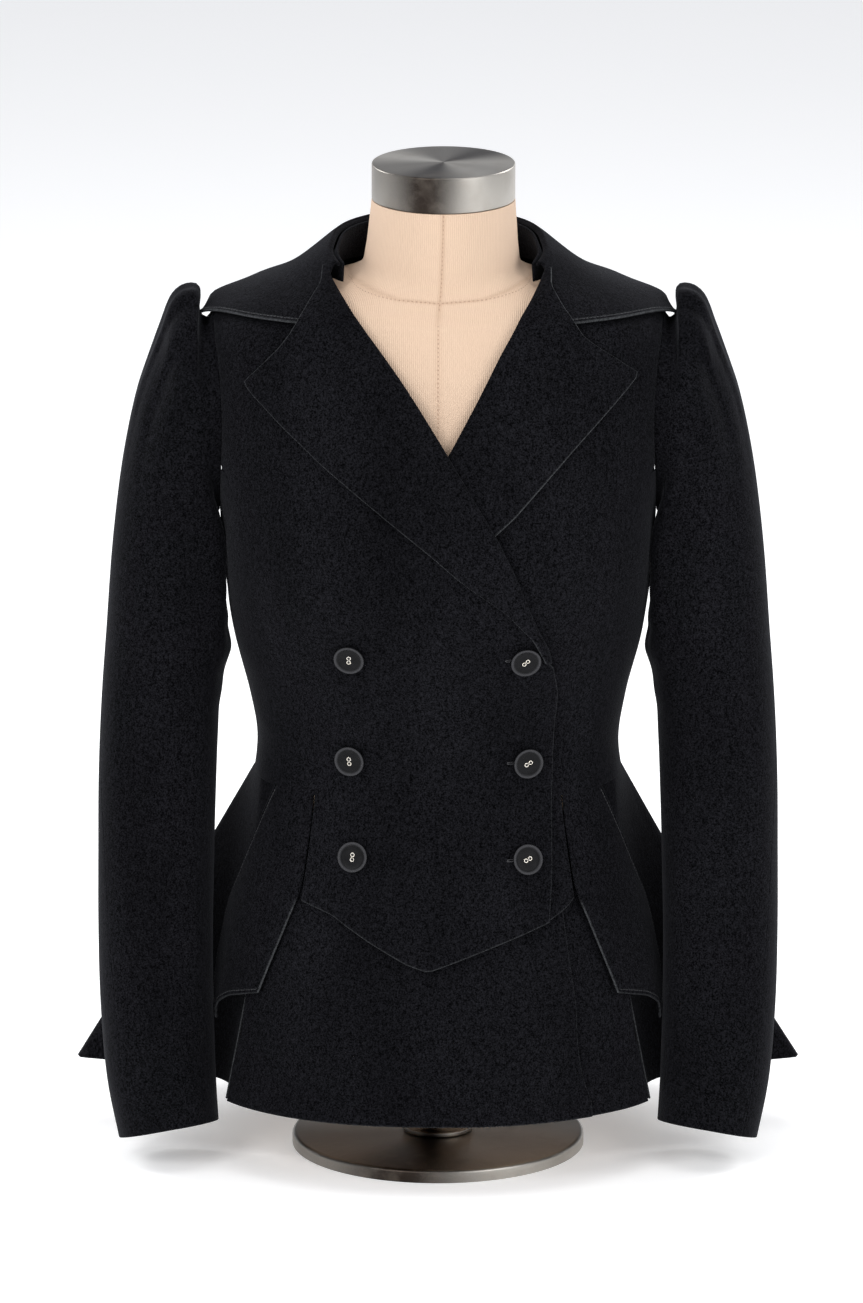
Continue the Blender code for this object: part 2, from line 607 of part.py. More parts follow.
def sleeve_rings(phi):
    """Rings of points from the armhole to the cuff, for the sleeve on +X.

    phi has a row of angles for each ring: 0 is the top or outer side and 90 the front."""
    cos, sin = np.cos(np.radians(phi)), np.sin(np.radians(phi))
    half_height = ARMHOLE["half_height"] - SLEEVE_GAP
    h = ARMHOLE["h"] + half_height * cos[0]
    share = 1 - SLEEVE_GAP / ARMHOLE["half_width"]
    first = torso(SIDE - ARMHOLE["half_angle"] * share * sin[0], h)
    rings = [first]
    for k in range(len(SLEEVE["outer_x"])):
        c, s = cos[k + 1], sin[k + 1]
        size = (np.abs(c) ** SLEEVE_POWER + np.abs(s) ** SLEEVE_POWER) ** (-1 / SLEEVE_POWER)
        outer = np.array((SLEEVE["outer_x"][k], SLEEVE["outer_h"][k]))
        inner = np.array((SLEEVE["inner_x"][k], SLEEVE["inner_h"][k]))
        middle, reach = (outer + inner) / 2, (outer - inner) / 2
        bulge = 1 + SLEEVE["pleat"][k] * (pleats(phi[k + 1]) - 0.5) / 60
        from_top = (phi[k + 1] + 180) % 360 - 180
        puff = np.exp(-((from_top / PUFF_SPREAD) ** 2))
        along = c * size * bulge
        x = middle[0] + reach[0] * along + SLEEVE["puff_x"][k] * puff
        z = middle[1] + reach[1] * along + SLEEVE["puff_h"][k] * puff + SLEEVE["lean"][k] * s
        y = SLEEVE["mid_y"][k] - SLEEVE["half_depth"][k] * s * size * bulge
        rings.append(np.stack([x, y, z], -1))
    return np.stack(rings)


def sleeve(name, side, part, material):
    """One of a sleeve's two pieces, split along its outer and inner seams."""
    seam = np.array((SLEEVE["seam"][0],) + SLEEVE["seam"], float)
    if part == "upper":
        shares = np.concatenate([np.linspace(0, 0.55, 14), np.linspace(0.66, 1, 5)])
        low, high = seam, np.full(len(seam), SLEEVE_INNER_SEAM)
    else:
        shares = np.linspace(0, 1, 10)
        low, high = np.full(len(seam), SLEEVE_INNER_SEAM), seam + 360
    phi = between(low, high, shares)
    outer = sleeve_rings(phi)
    round_it = sleeve_rings(phi - 1) - sleeve_rings(phi + 1)
    normal = np.cross(np.gradient(outer, axis=0), round_it)
    normal /= np.linalg.norm(normal, axis=-1, keepdims=True)
    inner = outer - normal * CLOTH
    outer[..., 0] *= side
    inner[..., 0] *= side
    return wall(name, pull_in(outer, SEAM, "lr"), pull_in(inner, SEAM, "lr"), material)


def turned(name, profile, centre, axis, material, segments=32, smooth_angle=35):
    """A turned solid from a profile of radius and height, closed on its axis."""
    axis = np.asarray(axis, float) / np.linalg.norm(axis)
    side = np.cross(axis, (0, 0, 1) if abs(axis[2]) < 0.9 else (1, 0, 0))
    side /= np.linalg.norm(side)
    other = np.cross(axis, side)
    centre = np.asarray(centre, float)
    verts = []
    for radius, rise in profile:
        for k in range(segments):
            turn = 2 * math.pi * k / segments
            ray = side * math.cos(turn) + other * math.sin(turn)
            verts.append(centre + axis * rise + ray * radius)
    faces = []
    for r in range(len(profile) - 1):
        for k in range(segments):
            a, b = r * segments + k, r * segments + (k + 1) % segments
            faces.append((a, b, b + segments, a + segments))
    low = len(verts)
    verts.append(centre + axis * profile[0][1])
    high = len(verts)
    verts.append(centre + axis * profile[-1][1])
    last = (len(profile) - 1) * segments
    for k in range(segments):
        nxt = (k + 1) % segments
        faces.append((low, nxt, k))
        faces.append((high, last + k, last + nxt))
    return make_object(name, verts, faces, material, smooth_angle)


def button(name, x, h, gap, material):
    """A round button with a raised rim, lying on its front."""
    over_front = -1
    angle = angle_at(x, h)
    out = float(front_out(over_front, np.array(x), np.array(h)))
    seat = torso_out(angle, h, out)
    normal = torso_out(angle, h, out + 1) - seat
    radius, thick = BUTTON["radius"], BUTTON["thick"]
    rim, dish = BUTTON["rim"], BUTTON["dish"]
    profile = (
        (BUTTON["shank"], 0.0),
        (BUTTON["shank"], BUTTON["rise"]),
        (radius, BUTTON["rise"] + 0.6),
        (radius, thick - 0.8),
        (radius - 0.8, thick),
        (radius - rim, thick),
        (radius - rim - 0.8, thick - dish),
    )
    return turned(name, profile, seat + normal * gap, normal, material, 14)


def form_ring(angles, half_width, front_depth, back_depth, h, power=2.25, lean=0.0):
    turn = np.radians(angles)
    depth = np.where(np.cos(turn) >= 0, front_depth, back_depth)
    across = np.abs(np.sin(turn)) / half_width
    along = np.abs(np.cos(turn)) / depth
    radius = (across**power + along**power) ** (-1 / power)
    x = radius * np.sin(turn) + lean
    return np.stack([x, -radius * np.cos(turn), 0 * turn + h], -1)


def form_torso(name, material):
    """The dress form's trunk and neck as one smooth closed body."""
    angles = np.arange(-180, 180, 15.0)
    rings = []
    columns = ("half_width", "front", "back", "h")
    for k in range(len(FORM_HIPS["h"])):
        rings.append(form_ring(angles, *(FORM_HIPS[c][k] for c in columns)))
    for h in FORM_ROWS:
        near_side = np.exp(-(((np.abs(angles) - SEAT["angle"]) / SEAT["spread"]) ** 2))
        seated = near_side * ease(h, SEAT["low_h"], SEAT["high_h"])
        seated = np.where(np.abs(angles) >= SIDE, SEAT["back_share"] * seated, seated)
        inset = FORM_INSET + (SEAT_INSET - FORM_INSET) * seated
        rings.append(torso_out(angles, h, -inset))
    columns += ("power", "lean")
    for k in range(len(NECK["h"])):
        rings.append(form_ring(angles, *(NECK[c][k] for c in columns)))
    grid = np.stack(rings)
    rows, cols = grid.shape[:2]
    verts = list(grid.reshape(-1, 3))
    faces = []
    for r in range(rows - 1):
        for c in range(cols):
            a, b = r * cols + c, r * cols + (c + 1) % cols
            faces.append((a, b, b + cols, a + cols))
    low, high = len(verts), len(verts) + 1
    verts.append(grid[0].mean(axis=0))
    verts.append(grid[-1].mean(axis=0))
    last = (rows - 1) * cols
    for c in range(cols):
        nxt = (c + 1) % cols
        faces.append((low, nxt, c))
        faces.append((high, last + c, last + nxt))
    return make_object(name, verts, faces, material, 60)


def neck_cap(name, material):
    radius, edge = CAP["radius"], CAP["edge"]
    profile = (
        (radius - edge, CAP["low"]),
        (radius, CAP["low"] + edge),
        (radius, CAP["high"] - edge),
        (radius - edge, CAP["high"]),
    )
    return turned(name, profile, (NECK_LEAN, 0, 0), (0, 0, 1), material, 36)


def stand_post(name, material):
    low = BASE["thick"] - HEM_Z + PART_GAP
    high = FORM_FOOT_H - PART_GAP
    profile = ((POST_RADIUS, low), (POST_RADIUS, high))
    return turned(name, profile, (0, 0, 0), (0, 0, 1), material, 32)


def stand_base(name, material):
    radius, edge, floor = BASE["radius"], BASE["edge"], -HEM_Z
    profile = (
        (radius, floor),
        (radius, floor + BASE["thick"] - edge),
        (radius - edge, floor + BASE["thick"]),
    )
    return turned(name, profile, (0, 0, 0), (0, 0, 1), material, 48)


def plain_material(name, colour, roughness, metallic=0.0):
    material = bpy.data.materials.new(name)
    material.use_nodes = True
    shader = material.node_tree.nodes["Principled BSDF"]
    shader.inputs["Base Color"].default_value = (*colour, 1)
    shader.inputs["Roughness"].default_value = roughness
    shader.inputs["Metallic"].default_value = metallic
    return material


def velvet(node):
    return plain_material(f"{node}_velvet", (0.012, 0.012, 0.016), 0.9)


def steel(node):
    return plain_material(f"{node}_steel", (0.55, 0.53, 0.5), 0.35, 1.0)


def build_jacket():
    front("front_over", -1, velvet("front_over"))
    front("front_under", 1, velvet("front_under"))
    for side, word in ((-1, "right"), (1, "left")):
        side_front(f"side_front_{word}", side, velvet(f"side_front_{word}"))
        side_back(f"side_back_{word}", side, velvet(f"side_back_{word}"))
        back(f"back_{word}", side, velvet(f"back_{word}"))
        collar(f"collar_{word}", side, velvet(f"collar_{word}"))
        hip_flap(f"hip_flap_{word}", side, velvet(f"hip_flap_{word}"))
        peplum(f"peplum_side_{word}", side, 65, PEPLUM_SPLIT, 15, velvet(f"peplum_side_{word}"))
        peplum(f"peplum_back_{word}", side, PEPLUM_SPLIT, BACK, 18, velvet(f"peplum_back_{word}"))
        for part in ("upper", "under"):
            name = f"sleeve_{part}_{word}"
            sleeve(name, side, part, velvet(name))
    collar_stand("collar_stand", velvet("collar_stand"))
    lapel("lapel_over", -1, LAPEL_OVER, velvet("lapel_over"))
    lapel("lapel_under", 1, LAPEL_UNDER, velvet("lapel_under"))
    skirt_over("skirt_front_over", velvet("skirt_front_over"))
    skirt_under("skirt_front_under", velvet("skirt_front_under"))
    for name, x, h, gap in zip(*BUTTONS.values()):
        material = plain_material(f"button_{name}_horn", (0.01, 0.01, 0.011), 0.3)
        button(f"button_{name}", x, h, gap, material)


def build_form():
    jersey = plain_material("form_torso_jersey", (0.74, 0.56, 0.42), 0.85)
    form_torso("form_torso", jersey)
    neck_cap("neck_cap", steel("neck_cap"))
    stand_post("stand_post", steel("stand_post"))
    stand_base("stand_base", steel("stand_base"))


for old in list(bpy.data.objects):
    bpy.data.objects.remove(old, do_unlink=True)
build_jacket()
build_form()
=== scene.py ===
"""A fitted double-breasted velvet jacket on a limbless dress form, dressed for a studio picture.

Every cloth piece is a thin shell with soft edges, laid on the same tables of sizes as the
solid that it stands for. Heights h are from the level hem, and sizes are in millimetres
until a mesh is made. The wearer faces -Y, and +X is the wearer's left.
"""

import math

import bpy
import numpy as np
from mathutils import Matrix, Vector


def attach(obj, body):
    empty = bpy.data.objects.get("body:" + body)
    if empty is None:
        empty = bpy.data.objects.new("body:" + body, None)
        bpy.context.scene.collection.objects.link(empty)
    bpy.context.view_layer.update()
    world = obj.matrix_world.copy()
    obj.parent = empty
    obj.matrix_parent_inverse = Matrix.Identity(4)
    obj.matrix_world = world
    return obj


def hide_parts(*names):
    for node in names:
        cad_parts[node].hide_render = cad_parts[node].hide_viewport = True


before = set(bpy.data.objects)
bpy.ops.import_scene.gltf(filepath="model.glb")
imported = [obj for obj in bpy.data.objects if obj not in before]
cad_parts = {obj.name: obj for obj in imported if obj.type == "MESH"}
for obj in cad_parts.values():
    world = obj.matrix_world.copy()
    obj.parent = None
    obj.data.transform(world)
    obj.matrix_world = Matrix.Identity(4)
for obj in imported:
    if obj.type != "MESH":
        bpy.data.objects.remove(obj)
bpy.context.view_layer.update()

MM = 0.001
HEM_Z = 55.0
CLOTH = 2.2
COLLAR_CLOTH = 2.6
SEAM_OVERLAP = 0.5  # two pieces run into each other by this much at a seam
LAYER = CLOTH + 1.2
WAIST_H = 240.0
FORM_INSET = 6.0
SEAT_INSET = CLOTH + 0.35
SIDE = 90.0
BACK = 180.0

# The torso's sections: half width at the side, depth to the front, depth to the back,
# and how square the section is.
SECTIONS = {
    "h": (-20, 0, 55, 117, 167, 232, 265, 300, 350, 380, 410, 440, 480, 520, 560, 585,
          594, 602, 615, 629, 642),
    "half_width": (186, 182, 175, 163, 154, 139, 135.5, 141, 153.5, 158, 161, 163, 167,
                   169, 170, 169, 166, 146, 112, 88, 71),
    "front": (154, 150, 142, 131, 121, 106, 101, 106, 117, 122, 124, 122, 116, 107, 96,
              86, 82, 78, 71, 65, 59),
    "back": (150, 146, 138, 125, 112, 93, 88, 91, 99, 105, 110, 114, 117, 116, 108, 98,
             93, 88, 80, 73, 67),
    "power": (2.2, 2.2, 2.2, 2.2, 2.2, 2.25, 2.3, 2.3, 2.35, 2.4, 2.45, 2.5, 2.6, 2.7,
              2.7, 2.6, 2.5, 2.35, 2.25, 2.15, 2.1),
}
BUST = {"out": 9.0, "angle": 36.0, "spread": 20.0, "h": 405.0, "rise": 55.0}

# The armhole is an ellipse on the torso's side.
ARMHOLE = {"h": 517.0, "half_height": 77.0, "half_angle": 17.0, "half_width": 50.0}
ARMHOLE_TOP = ARMHOLE["h"] + ARMHOLE["half_height"]
ARMHOLE_FOOT = ARMHOLE["h"] - ARMHOLE["half_height"]
NECK_H = 630.0
FRONT_FOOT_H = 165.0
PRINCESS_TOP_H = 480.0
BACK_SEAM_TOP_H = 505.0
BODY_ROWS = (WAIST_H, 265, 295, 325, 355, 385, 412, ARMHOLE_FOOT, 443, 450, 462, 480,
             505, 530, 555, 573, 584, 590, ARMHOLE_TOP, 606, 620, NECK_H)

FRONT_ROWS = (FRONT_FOOT_H, 190, 215) + BODY_ROWS
COLLAR_COLUMNS = (53, 59, 66, 73, 80, 86, 91, 98, 108, 120, 134, 149, 164, 180)
STAND_COLUMNS = (65, 75, 90, 105, 122, 140, 160)

# Seams and edges as the distance x from the centre line at heights h.
PRINCESS = {
    "h": (110, 163, 176, 202, 236, 277, 320, 347, 370, 394, 408, 450, 480),
    "x": (104, 102, 100, 96, 92, 93, 99, 106, 111, 117, 127, 145, 158.5),
}
FRONT_EDGE = {
    "h": (110, 148, 196, 251, 301, 324, 345),
    "x": (77, 79, 82.5, 84, 86, 88, 85),
}
ROLL_OVER = {
    "h": (345, 362, 379, 420, 448, 469, 492, 508, 539, 584, 609, 622, 634, 642),
    "x": (85, 82, 74, 58, 44, 31, 16.5, 7.5, -12, -44.5, -65, -74.5, -79, -81),
}
ROLL_UNDER = {
    "h": (110, 345, 400, 440, 480, 508, 546, 579, 605, 625, 634, 642),
    "x": (-58, -58, -56, -36, -11, 7.5, 28.5, 46, 61.5, 75, 79, 81),
}
FRONT_HEM = {
    "x": (-104, -77, -50, -22, -7, 38, 79, 95, 110),
    "h": (162, 154, 137, 121, 115.5, 133, 148, 157, 172),
}
HEM_BLEND_H = 235.0
BACK_SEAM = {
    "h": (WAIST_H, 300, 350, 410, 450, 480, 505),
    "angle": (152, 150, 147, 140, 130, 118, 106.8),
}

# Lapels: each station joins the roll line to the outer edge. The tip is the corner.
LAPEL_OVER = {
    "roll_x": (84, 82, 74, 66, 58, 44, 31, 7.5, -12, -27, -44.5, -62, -70, -75.5, -78.5),
    "roll_h": (350, 362, 379, 400, 420, 448, 469, 508, 539, 561, 584, 605, 616, 623.5, 630),
    "edge_x": (78, 69, 51, 20, -7, -46, -85, -114, -139.5, -143, -124, -105, -93, -84,
               -81.5),
    "edge_h": (352, 372, 392, 414, 436, 467, 499, 524, 548.5, 554, 574, 593, 608, 618.5,
               627.5),
}
LAPEL_UNDER = {
    "roll_x": (-6, 7.5, 18, 28.5, 37.5, 46, 54, 61.5, 67.5, 74, 77),
    "roll_h": (487, 508, 527, 546, 563, 579, 592, 605, 613, 623, 630),
    "edge_x": (38, 57, 100, 130, 145, 147, 128, 106, 91, 81, 80),
    "edge_h": (445, 462, 509, 540, 555.5, 560, 574.5, 588.5, 604.5, 617.5, 627),
}
LAPEL_SPREAD = 14.0
LAPEL_EDGE_DROP = 5.0
ROLL_RISE = {"at": (0, 2.5, 6, 12, 30), "out": (0.6, 2.6, 3.9, 4.0, 3.4)}

# Collar, along the angle round the neck.
COLLAR = {
    "angle": (53, 66, 80, 88, 95, 110, 130, 155, 180),
    "edge_h": (596, 596, 594.5, 591, 588, 578, 568, 562, 560),
    "start_angle": (64.5, 71, 81, 88.5, 95, 110, 130, 155, 180),
}
COLLAR_ROLL = {"out": (1.3, 3.9, 8.5), "up": (-0.4, 1.6, 0.2)}
COLLAR_SHARES = (0.28, 0.54, 0.8, 1.0)
COLLAR_OUT = {
    "angle": (53, 66, 85, 115, 180),
    "near": (5.7, 6.0, 8.0, 8.6, 8.0),
    "far": (5.7, 5.8, 6.0, 7.8, 7.0),
}
COLLAR_ZONE = {"low_h": 580.0, "high_h": 594.0, "in_x": 72.0, "out_x": 82.0, "out": 9.4}
COLLAR_TIP = {"out": 3.2, "spread": 10.0, "angle": 89.0}
STAND = {
    "angle": (62, 75, 90, 110, 135, 180),
    "top_h": (635, 640, 644.5, 647.5, 648.5, 650),
    "top_in": (3, 7, 12, 12, 8, 3),
}

STAND_FOOT = {"in": 3.4, "down": 8.0}  # it reaches this far inside the neckline

# Hip flaps over the skirt, and the skirt's front in two overlapping pieces.
FLAP = {
    "h": (58, 68, 88, 109, 142, 170, 201, 223, 240),
    "outer_angle": (71.5, 75, 79.5, 81.5, 80.5, 75.6, 72, 69, 66),
    "inner_angle": (58, 57.5, 56, 54, 50.4, 47.6, 47.8, 48.2, 48.6),
}
FLAP_LOW = {"share": (0, 0.5, 0.85, 1), "h": (88, 78.5, 69, 58)}
FLAP_OUT = {"h": (58, 140, 215, 240), "out": (2.5, 1.4, 0.5, 0.0)}
SKIRT_TOP_H = 226.0
SKIRT_OUT = -3.2
SKIRT_UNDER_OUT = -6.5
SKIRT_SEAM_ANGLE = {"h": (0, 25, 55, 80, 226), "angle": (64, 63.6, 61.4, 62.4, 62.4)}
SKIRT_FREE_X = {
    "h": (0, 12, 26, 53, 86, 113, 156, 226),
    "x": (118, 117, 112, 107, 105, 101, 95, 86),
}
SKIRT_HIDDEN_ANGLE = 27.0

# The peplum: its hem at the angle where it leaves the waist.
PEPLUM = {
    "angle": (65.0, 68, 73, 79, 85, 90, 94, 97, 104, 113, 122, 131, 140, 149, 158, 168, 180),
    "hem_x": (160, 155, 156, 168, 197, 238, 272, 271, 248, 235, 230, 199, 172, 152, 108, 76, 0),
    "hem_y": (-71, -57, -38, -16, 6, 26, 39, 50, 70, 92, 122, 138, 146, 176, 176, 196, 190),
}
PEPLUM_TOP_OUT = {"angle": (65, 70, 75, 180), "out": (-3.6, -3.4, 0, 0)}
PEPLUM_SPLIT = 104.0

# Sleeve rings after the armhole.
SLEEVE = {
    "outer_x": (174, 181, 189, 198, 206, 212, 218.5, 225.5, 232, 238.5, 244, 248, 252, 254.5,
                255, 255, 253.5, 249, 240),
    "outer_h": (588, 590, 590, 585, 577, 566, 550, 530, 500, 460, 410, 355, 300, 240,
                180, 120, 65, 10, -37),
    "inner_x": (165.5, 165.5, 164.5, 163.5, 162.6, 161.8, 160.8, 159.7, 158, 156.2, 156,
                160.5, 164.5, 166.5, 168, 169, 168.5, 167, 165),
    "inner_h": (437, 433, 427, 420, 412, 403, 393, 382, 368, 352, 335, 310, 276, 228,
                174, 118, 65, 12, -23),
    "mid_y": (0, 0, 0, 0, 0, 0, -1, -2, -4, -6, -9, -13, -18, -25, -32, -38, -43, -47,
              -50),
    "half_depth": (50.5, 53, 55, 56, 56, 55, 54, 52, 50, 49, 48, 47, 46, 45, 44, 43, 42,
                   40, 39),
    "puff_x": (-1, -3.2, -11.5, -9, -7, -5, -3, -1, 0, 0, 0, 0, 0, 0, 0, 0, 0, 0, 0),
    "puff_h": (-3, 1, 18, 24, 23, 14, 8, 2, 0, 0, 0, 0, 0, 0, 0, 0, 0, 0, 0),
    "lean": (0, 0, 0, 0, 0, 0, 0, 0, 0, 0, 0, 0, 0, 0, 0, 1, 3, 6, 9.5),
    "pleat": (0, 2, 4.5, 5.5, 5.5, 4.5, 3, 2, 1, 0, 0, 0, 0, 0, 0, 0, 0, 0, 0),
    "seam": (-58, -56, -54, -52, -50, -47, -44, -40, -35, -28, -18, -6, 8, 20, 32, 40,
             46, 48, 48),
}
PUFF_SPREAD = 52.0
SLEEVE_POWER = 2.15
SLEEVE_INNER_SEAM = 205.0
PLEAT_AT = (-64.0, -40.0, -18.0, 18.0, 40.0, 64.0)
PLEAT_WIDTH = 17.0
PLEAT_STEEP = 3.5
SLEEVE_OVERLAP = 0.3  # the sleeve's head runs this far into the panels round it

BUTTONS = {
    "name": ("left_top", "left_mid", "left_low", "right_top", "right_mid", "right_low"),
    "x": (-65, -64, -62, 64, 65, 65),
    "h": (356, 271, 198, 354, 269, 196),
    "gap": (0.2, 0.9, 0.3, 0.3, 1.2, 0.3),
    "eyelet_turn": (4, -6, 2, 48, 62, 66),
}
BUTTON = {"radius": 11.5, "thick": 4.2, "edge": 0.7, "dish": 1.0, "shank": 3.2, "rise": 1.5}
BUTTON_FACE = {
    "radius": (9.9, 9.4, 8.7, 7.7, 5.0, 3.6, 1.0),
    "rise": (4.1, 3.75, 3.32, 3.2, 3.1, 3.32, 3.35),
}
# Painted highlight round the top of each button's rim: the profile's rings and how bright each is.
BUTTON_GLOW = {"ring": (10, 11, 12, 13, 14), "bright": (0.45, 1.0, 1.0, 1.0, 0.45)}
BUTTON_SIDES = 72

FORM_HIPS = {
    "h": (5, 60, 120, 180, 225),
    "half_width": (134, 142, 141, 133, 128),
    "front": (102, 108, 105, 97, 92.5),
    "back": (110, 116, 112, 98, 86),
}
FORM_ROWS = (248, 268, 295, 325, 355, 385, 412, 440, 470, 500, 530, 555, 574, 587, 595,
             600)
SEAT = {"angle": 90.0, "spread": 32.0, "low_h": 540.0, "high_h": 588.0, "back_share": 0.55}
NECK = {
    "h": (607, 613, 619, 627, 640, 660, 677.6),
    "half_width": (121, 95, 74, 60.5, 57, 55, 53.5),
    "front": (65, 61.5, 59.5, 58.5, 57, 55, 53.5),
    "back": (79, 74, 68.5, 63, 58.5, 55.5, 53.5),
    "power": (2.4, 2.3, 2.2, 2.1, 2.05, 2.0, 2.0),
    "lean": (0.8, 1.4, 2, 2.5, 3, 3.6, 4),
}
NECK_LEAN = 4.0
CAP = {"low": 678.0, "high": 705.0, "radius": 53.5, "low_edge": 0.8, "edge": 1.2}
CAP_TOP = {"radius": (45.5, 26.75, 6), "rise": (0.05, 0.15, 0.2)}
POST_RADIUS = 17.5
FLANGE = {"out": 9.0, "edge": 1.0, "side": 3.0, "high": 4.2, "neck": 6.0}
FORM_FOOT_H = 5.0
BASE = {"radius": 110.0, "thick": 10.0, "low_edge": 0.6, "edge": 3.0}
PART_GAP = 0.4

# How fine the shells are, how their edges are shaped, and how strong the highlight painted along
# them is
STEP = 4.5
SLEEVE_STEP = 3.2
COLLAR_STEP = 2.0
LAPEL_STEP = 0.125
EDGE_LINES = np.array((0.0, 0.25, 0.6, 1.1, 1.8, 2.8, 3.5, 4.0, 4.6, 6.0))
EDGE_ROOM = 2.6
SEAM_ROUND = 0.6
STITCH_INSET = 3.2
STITCH_SUNK = 0.22
TROUGH = {"depth": 0.35, "width": 0.7}
RIDGE = {"height": 0.25, "width": 1.0}
# Painted highlight along turned edges and just past stitch lines, fainter on the inner face
EDGE_GLOW = {"reach": 0.9, "back": 0.3, "stitch_reach": 0.55, "stitch": 0.5, "past": 0.5}

# Where a front stands out: from the centre line's far side, and under the lapel.
COVER = {"x": (-96, -66), "lapel_x": (-38, -14), "low_h": (412, 438), "high_h": (540, 570)}
COVER_MORE = 0.5
ROLL_OVER_FOOT_H = 350
ROLL_UNDER_FOOT_H = 480
LAPEL_SWELL = {"out": 0.9, "width": (25, 70)}
LAPEL_ROLL_SHARE = 0.4
LAPEL_SOFTENED = {"roll": 5, "edge": 1}
SKIRT_SWING = (46.5, 60)
SKIRT_WAVES = {"out": (0.7, 0.5), "turns": (5.2, 9), "start": (30, -40)}
SKIRT_WAVES_TOP_H = 110
FLAP_BOW = {"bow": 0.7, "lift": 0.9}
PEPLUM_HOLLOW = 2.2
COLUMNS = {"front": 56, "side": 24, "back": 40, "over": 60, "under": 30, "flap": 30,
           "peplum_side": 90, "peplum_back": 120, "sleeve_upper": 96, "sleeve_under": 44}
DOWN = {"flap": 50, "peplum": 60, "stand": 9}
SLEEVE_SEAM_FADE = {"degrees": 8, "rings": 3}
MIDDLE = (0, 0, 300)
STAND_MIDDLE = (0, 0, 640)
SLEEVE_MIDDLE = (208, -20, 250)

# Soft creases on the body: angle and height of the middle, half length and half width,
# depth (minus is a trough), and how far the crease is turned from level. They bend a
# little, and fade out towards the shoulders.
CREASE_BEND = 0.35
CREASE_FADE_H = (500, 560)
UNEVEN = 0.12
MM_FOR_A_DEGREE = 2.4
BODY_CREASES = {
    "angle": (-58, -64, -49, 55, 66, 60, -78, -84, 80, 86, 47, -38, 24, -20, 8, -118, -132,
              -160, 122, 138, 163, 176, -173, 100, -99, 150, -148),
    "h": (262, 282, 248, 268, 250, 291, 430, 395, 436, 402, 372, 352, 300, 240, 215, 262, 285,
          255, 270, 248, 288, 262, 300, 395, 402, 420, 436),
    "length": (34, 26, 22, 30, 24, 20, 30, 34, 28, 36, 26, 24, 40, 36, 30, 40, 34, 46, 38, 30,
               42, 36, 30, 30, 34, 44, 40),
    "width": (5, 4, 4, 5, 4, 5, 6, 7, 6, 6, 7, 8, 9, 8, 8, 5, 5, 6, 5, 5, 6, 5, 6, 7, 7, 8, 9),
    "depth": (-0.9, 0.7, -0.5, -0.8, -0.7, 0.6, -0.9, -0.7, -0.8, 0.6, -0.5, -0.5, -0.4, 0.35,
              -0.35, -1.1, 0.8, -1.0, -1.0, 0.8, -0.9, 0.7, -0.7, -0.8, -0.7, -0.6, -0.6),
    "turn": (8, -6, 15, -10, 5, -18, 52, 64, -50, -62, 35, -40, 12, -8, 5, 6, -10, 3, -8, 10,
             -4, 2, -6, -55, 58, 30, -28),
}

# Creases on the sleeves: place along the sleeve as a ring number, angle round it,
# half length in rings, half width in degrees, depth, and turn in degrees for each ring.
SLEEVE_CREASES = {
    "ring": (10.2, 11.0, 11.8, 12.6, 9.3, 8.0, 13.6, 15.2, 16.4, 17.6, 7.0, 6.2, 12.0, 10.6,
             6.5, 9.5),
    "phi": (160, 175, 150, 168, 150, 140, 60, 110, 80, 130, 40, 10, 250, 265, 138, 140),
    "length": (0.35, 0.3, 0.35, 0.3, 0.5, 1.2, 1.6, 1.4, 1.2, 0.8, 1.5, 1.3, 0.35, 0.3, 3.6,
               2.0),
    "width": (42, 36, 38, 30, 34, 12, 10, 12, 9, 16, 9, 8, 34, 38, 16, 15),
    "depth": (-1.7, 1.3, -1.5, -1.0, -1.2, -1.4, -1.0, -0.9, 0.8, -1.0, -1.3, -1.1, -1.3,
              -1.2, 10.5, 3.5),
    "turn": (0, 0, 0, 0, 0, 6, 4, -5, 3, -4, 4, -3, 0, 0, 0, 0),
}


def curve(t, low, high, low_slope, high_slope):
    """A smooth curve from low to high while t goes from 0 to 1."""
    start = (2 * t**3 - 3 * t**2 + 1) * low + (t**3 - 2 * t**2 + t) * low_slope
    return start + (3 * t**2 - 2 * t**3) * high + (t**3 - t**2) * high_slope


def smooth_at(table, across, column, at):
    """A smooth curve through one column of a table."""
    xs = np.array(table[across], float)
    ys = np.array(table[column], float)
    at = np.asarray(at, float)
    slope = np.gradient(ys, xs)
    i = np.clip(np.searchsorted(xs, at) - 1, 0, len(xs) - 2)
    step = xs[i + 1] - xs[i]
    return curve((at - xs[i]) / step, ys[i], ys[i + 1], step * slope[i], step * slope[i + 1])


def straight_at(table, across, column, at):
    """Straight lines through one column of a table whose first column rises."""
    return np.interp(at, table[across], table[column])


def ease(value, low, high):
    """0 below low, 1 above high, and smooth between."""
    t = np.clip((np.asarray(value, float) - low) / (high - low), 0, 1)
    return t * t * (3 - 2 * t)


def unit(vectors):
    return vectors / np.maximum(np.linalg.norm(vectors, axis=-1, keepdims=True), 1e-9)


def bell(distance, width):
    """1 in the middle, and fading away over a width."""
    return np.exp(-((distance / width) ** 2))


def steps(points, axis=0):
    """The distances between neighbours along one axis of a grid of points."""
    return np.linalg.norm(np.diff(points, axis=axis), axis=-1)


# The body's surface, and grids of points on it
def oval(angle, half_width, front, back, power):
    """How far a rounded section lies from its middle, at an angle from the front."""
    turn = np.radians(angle)
    depth = np.where(np.cos(turn) >= 0, front, back)
    sideways = np.abs(np.sin(turn)) / half_width
    along = np.abs(np.cos(turn)) / depth
    return (sideways**power + along**power) ** (-1 / power)


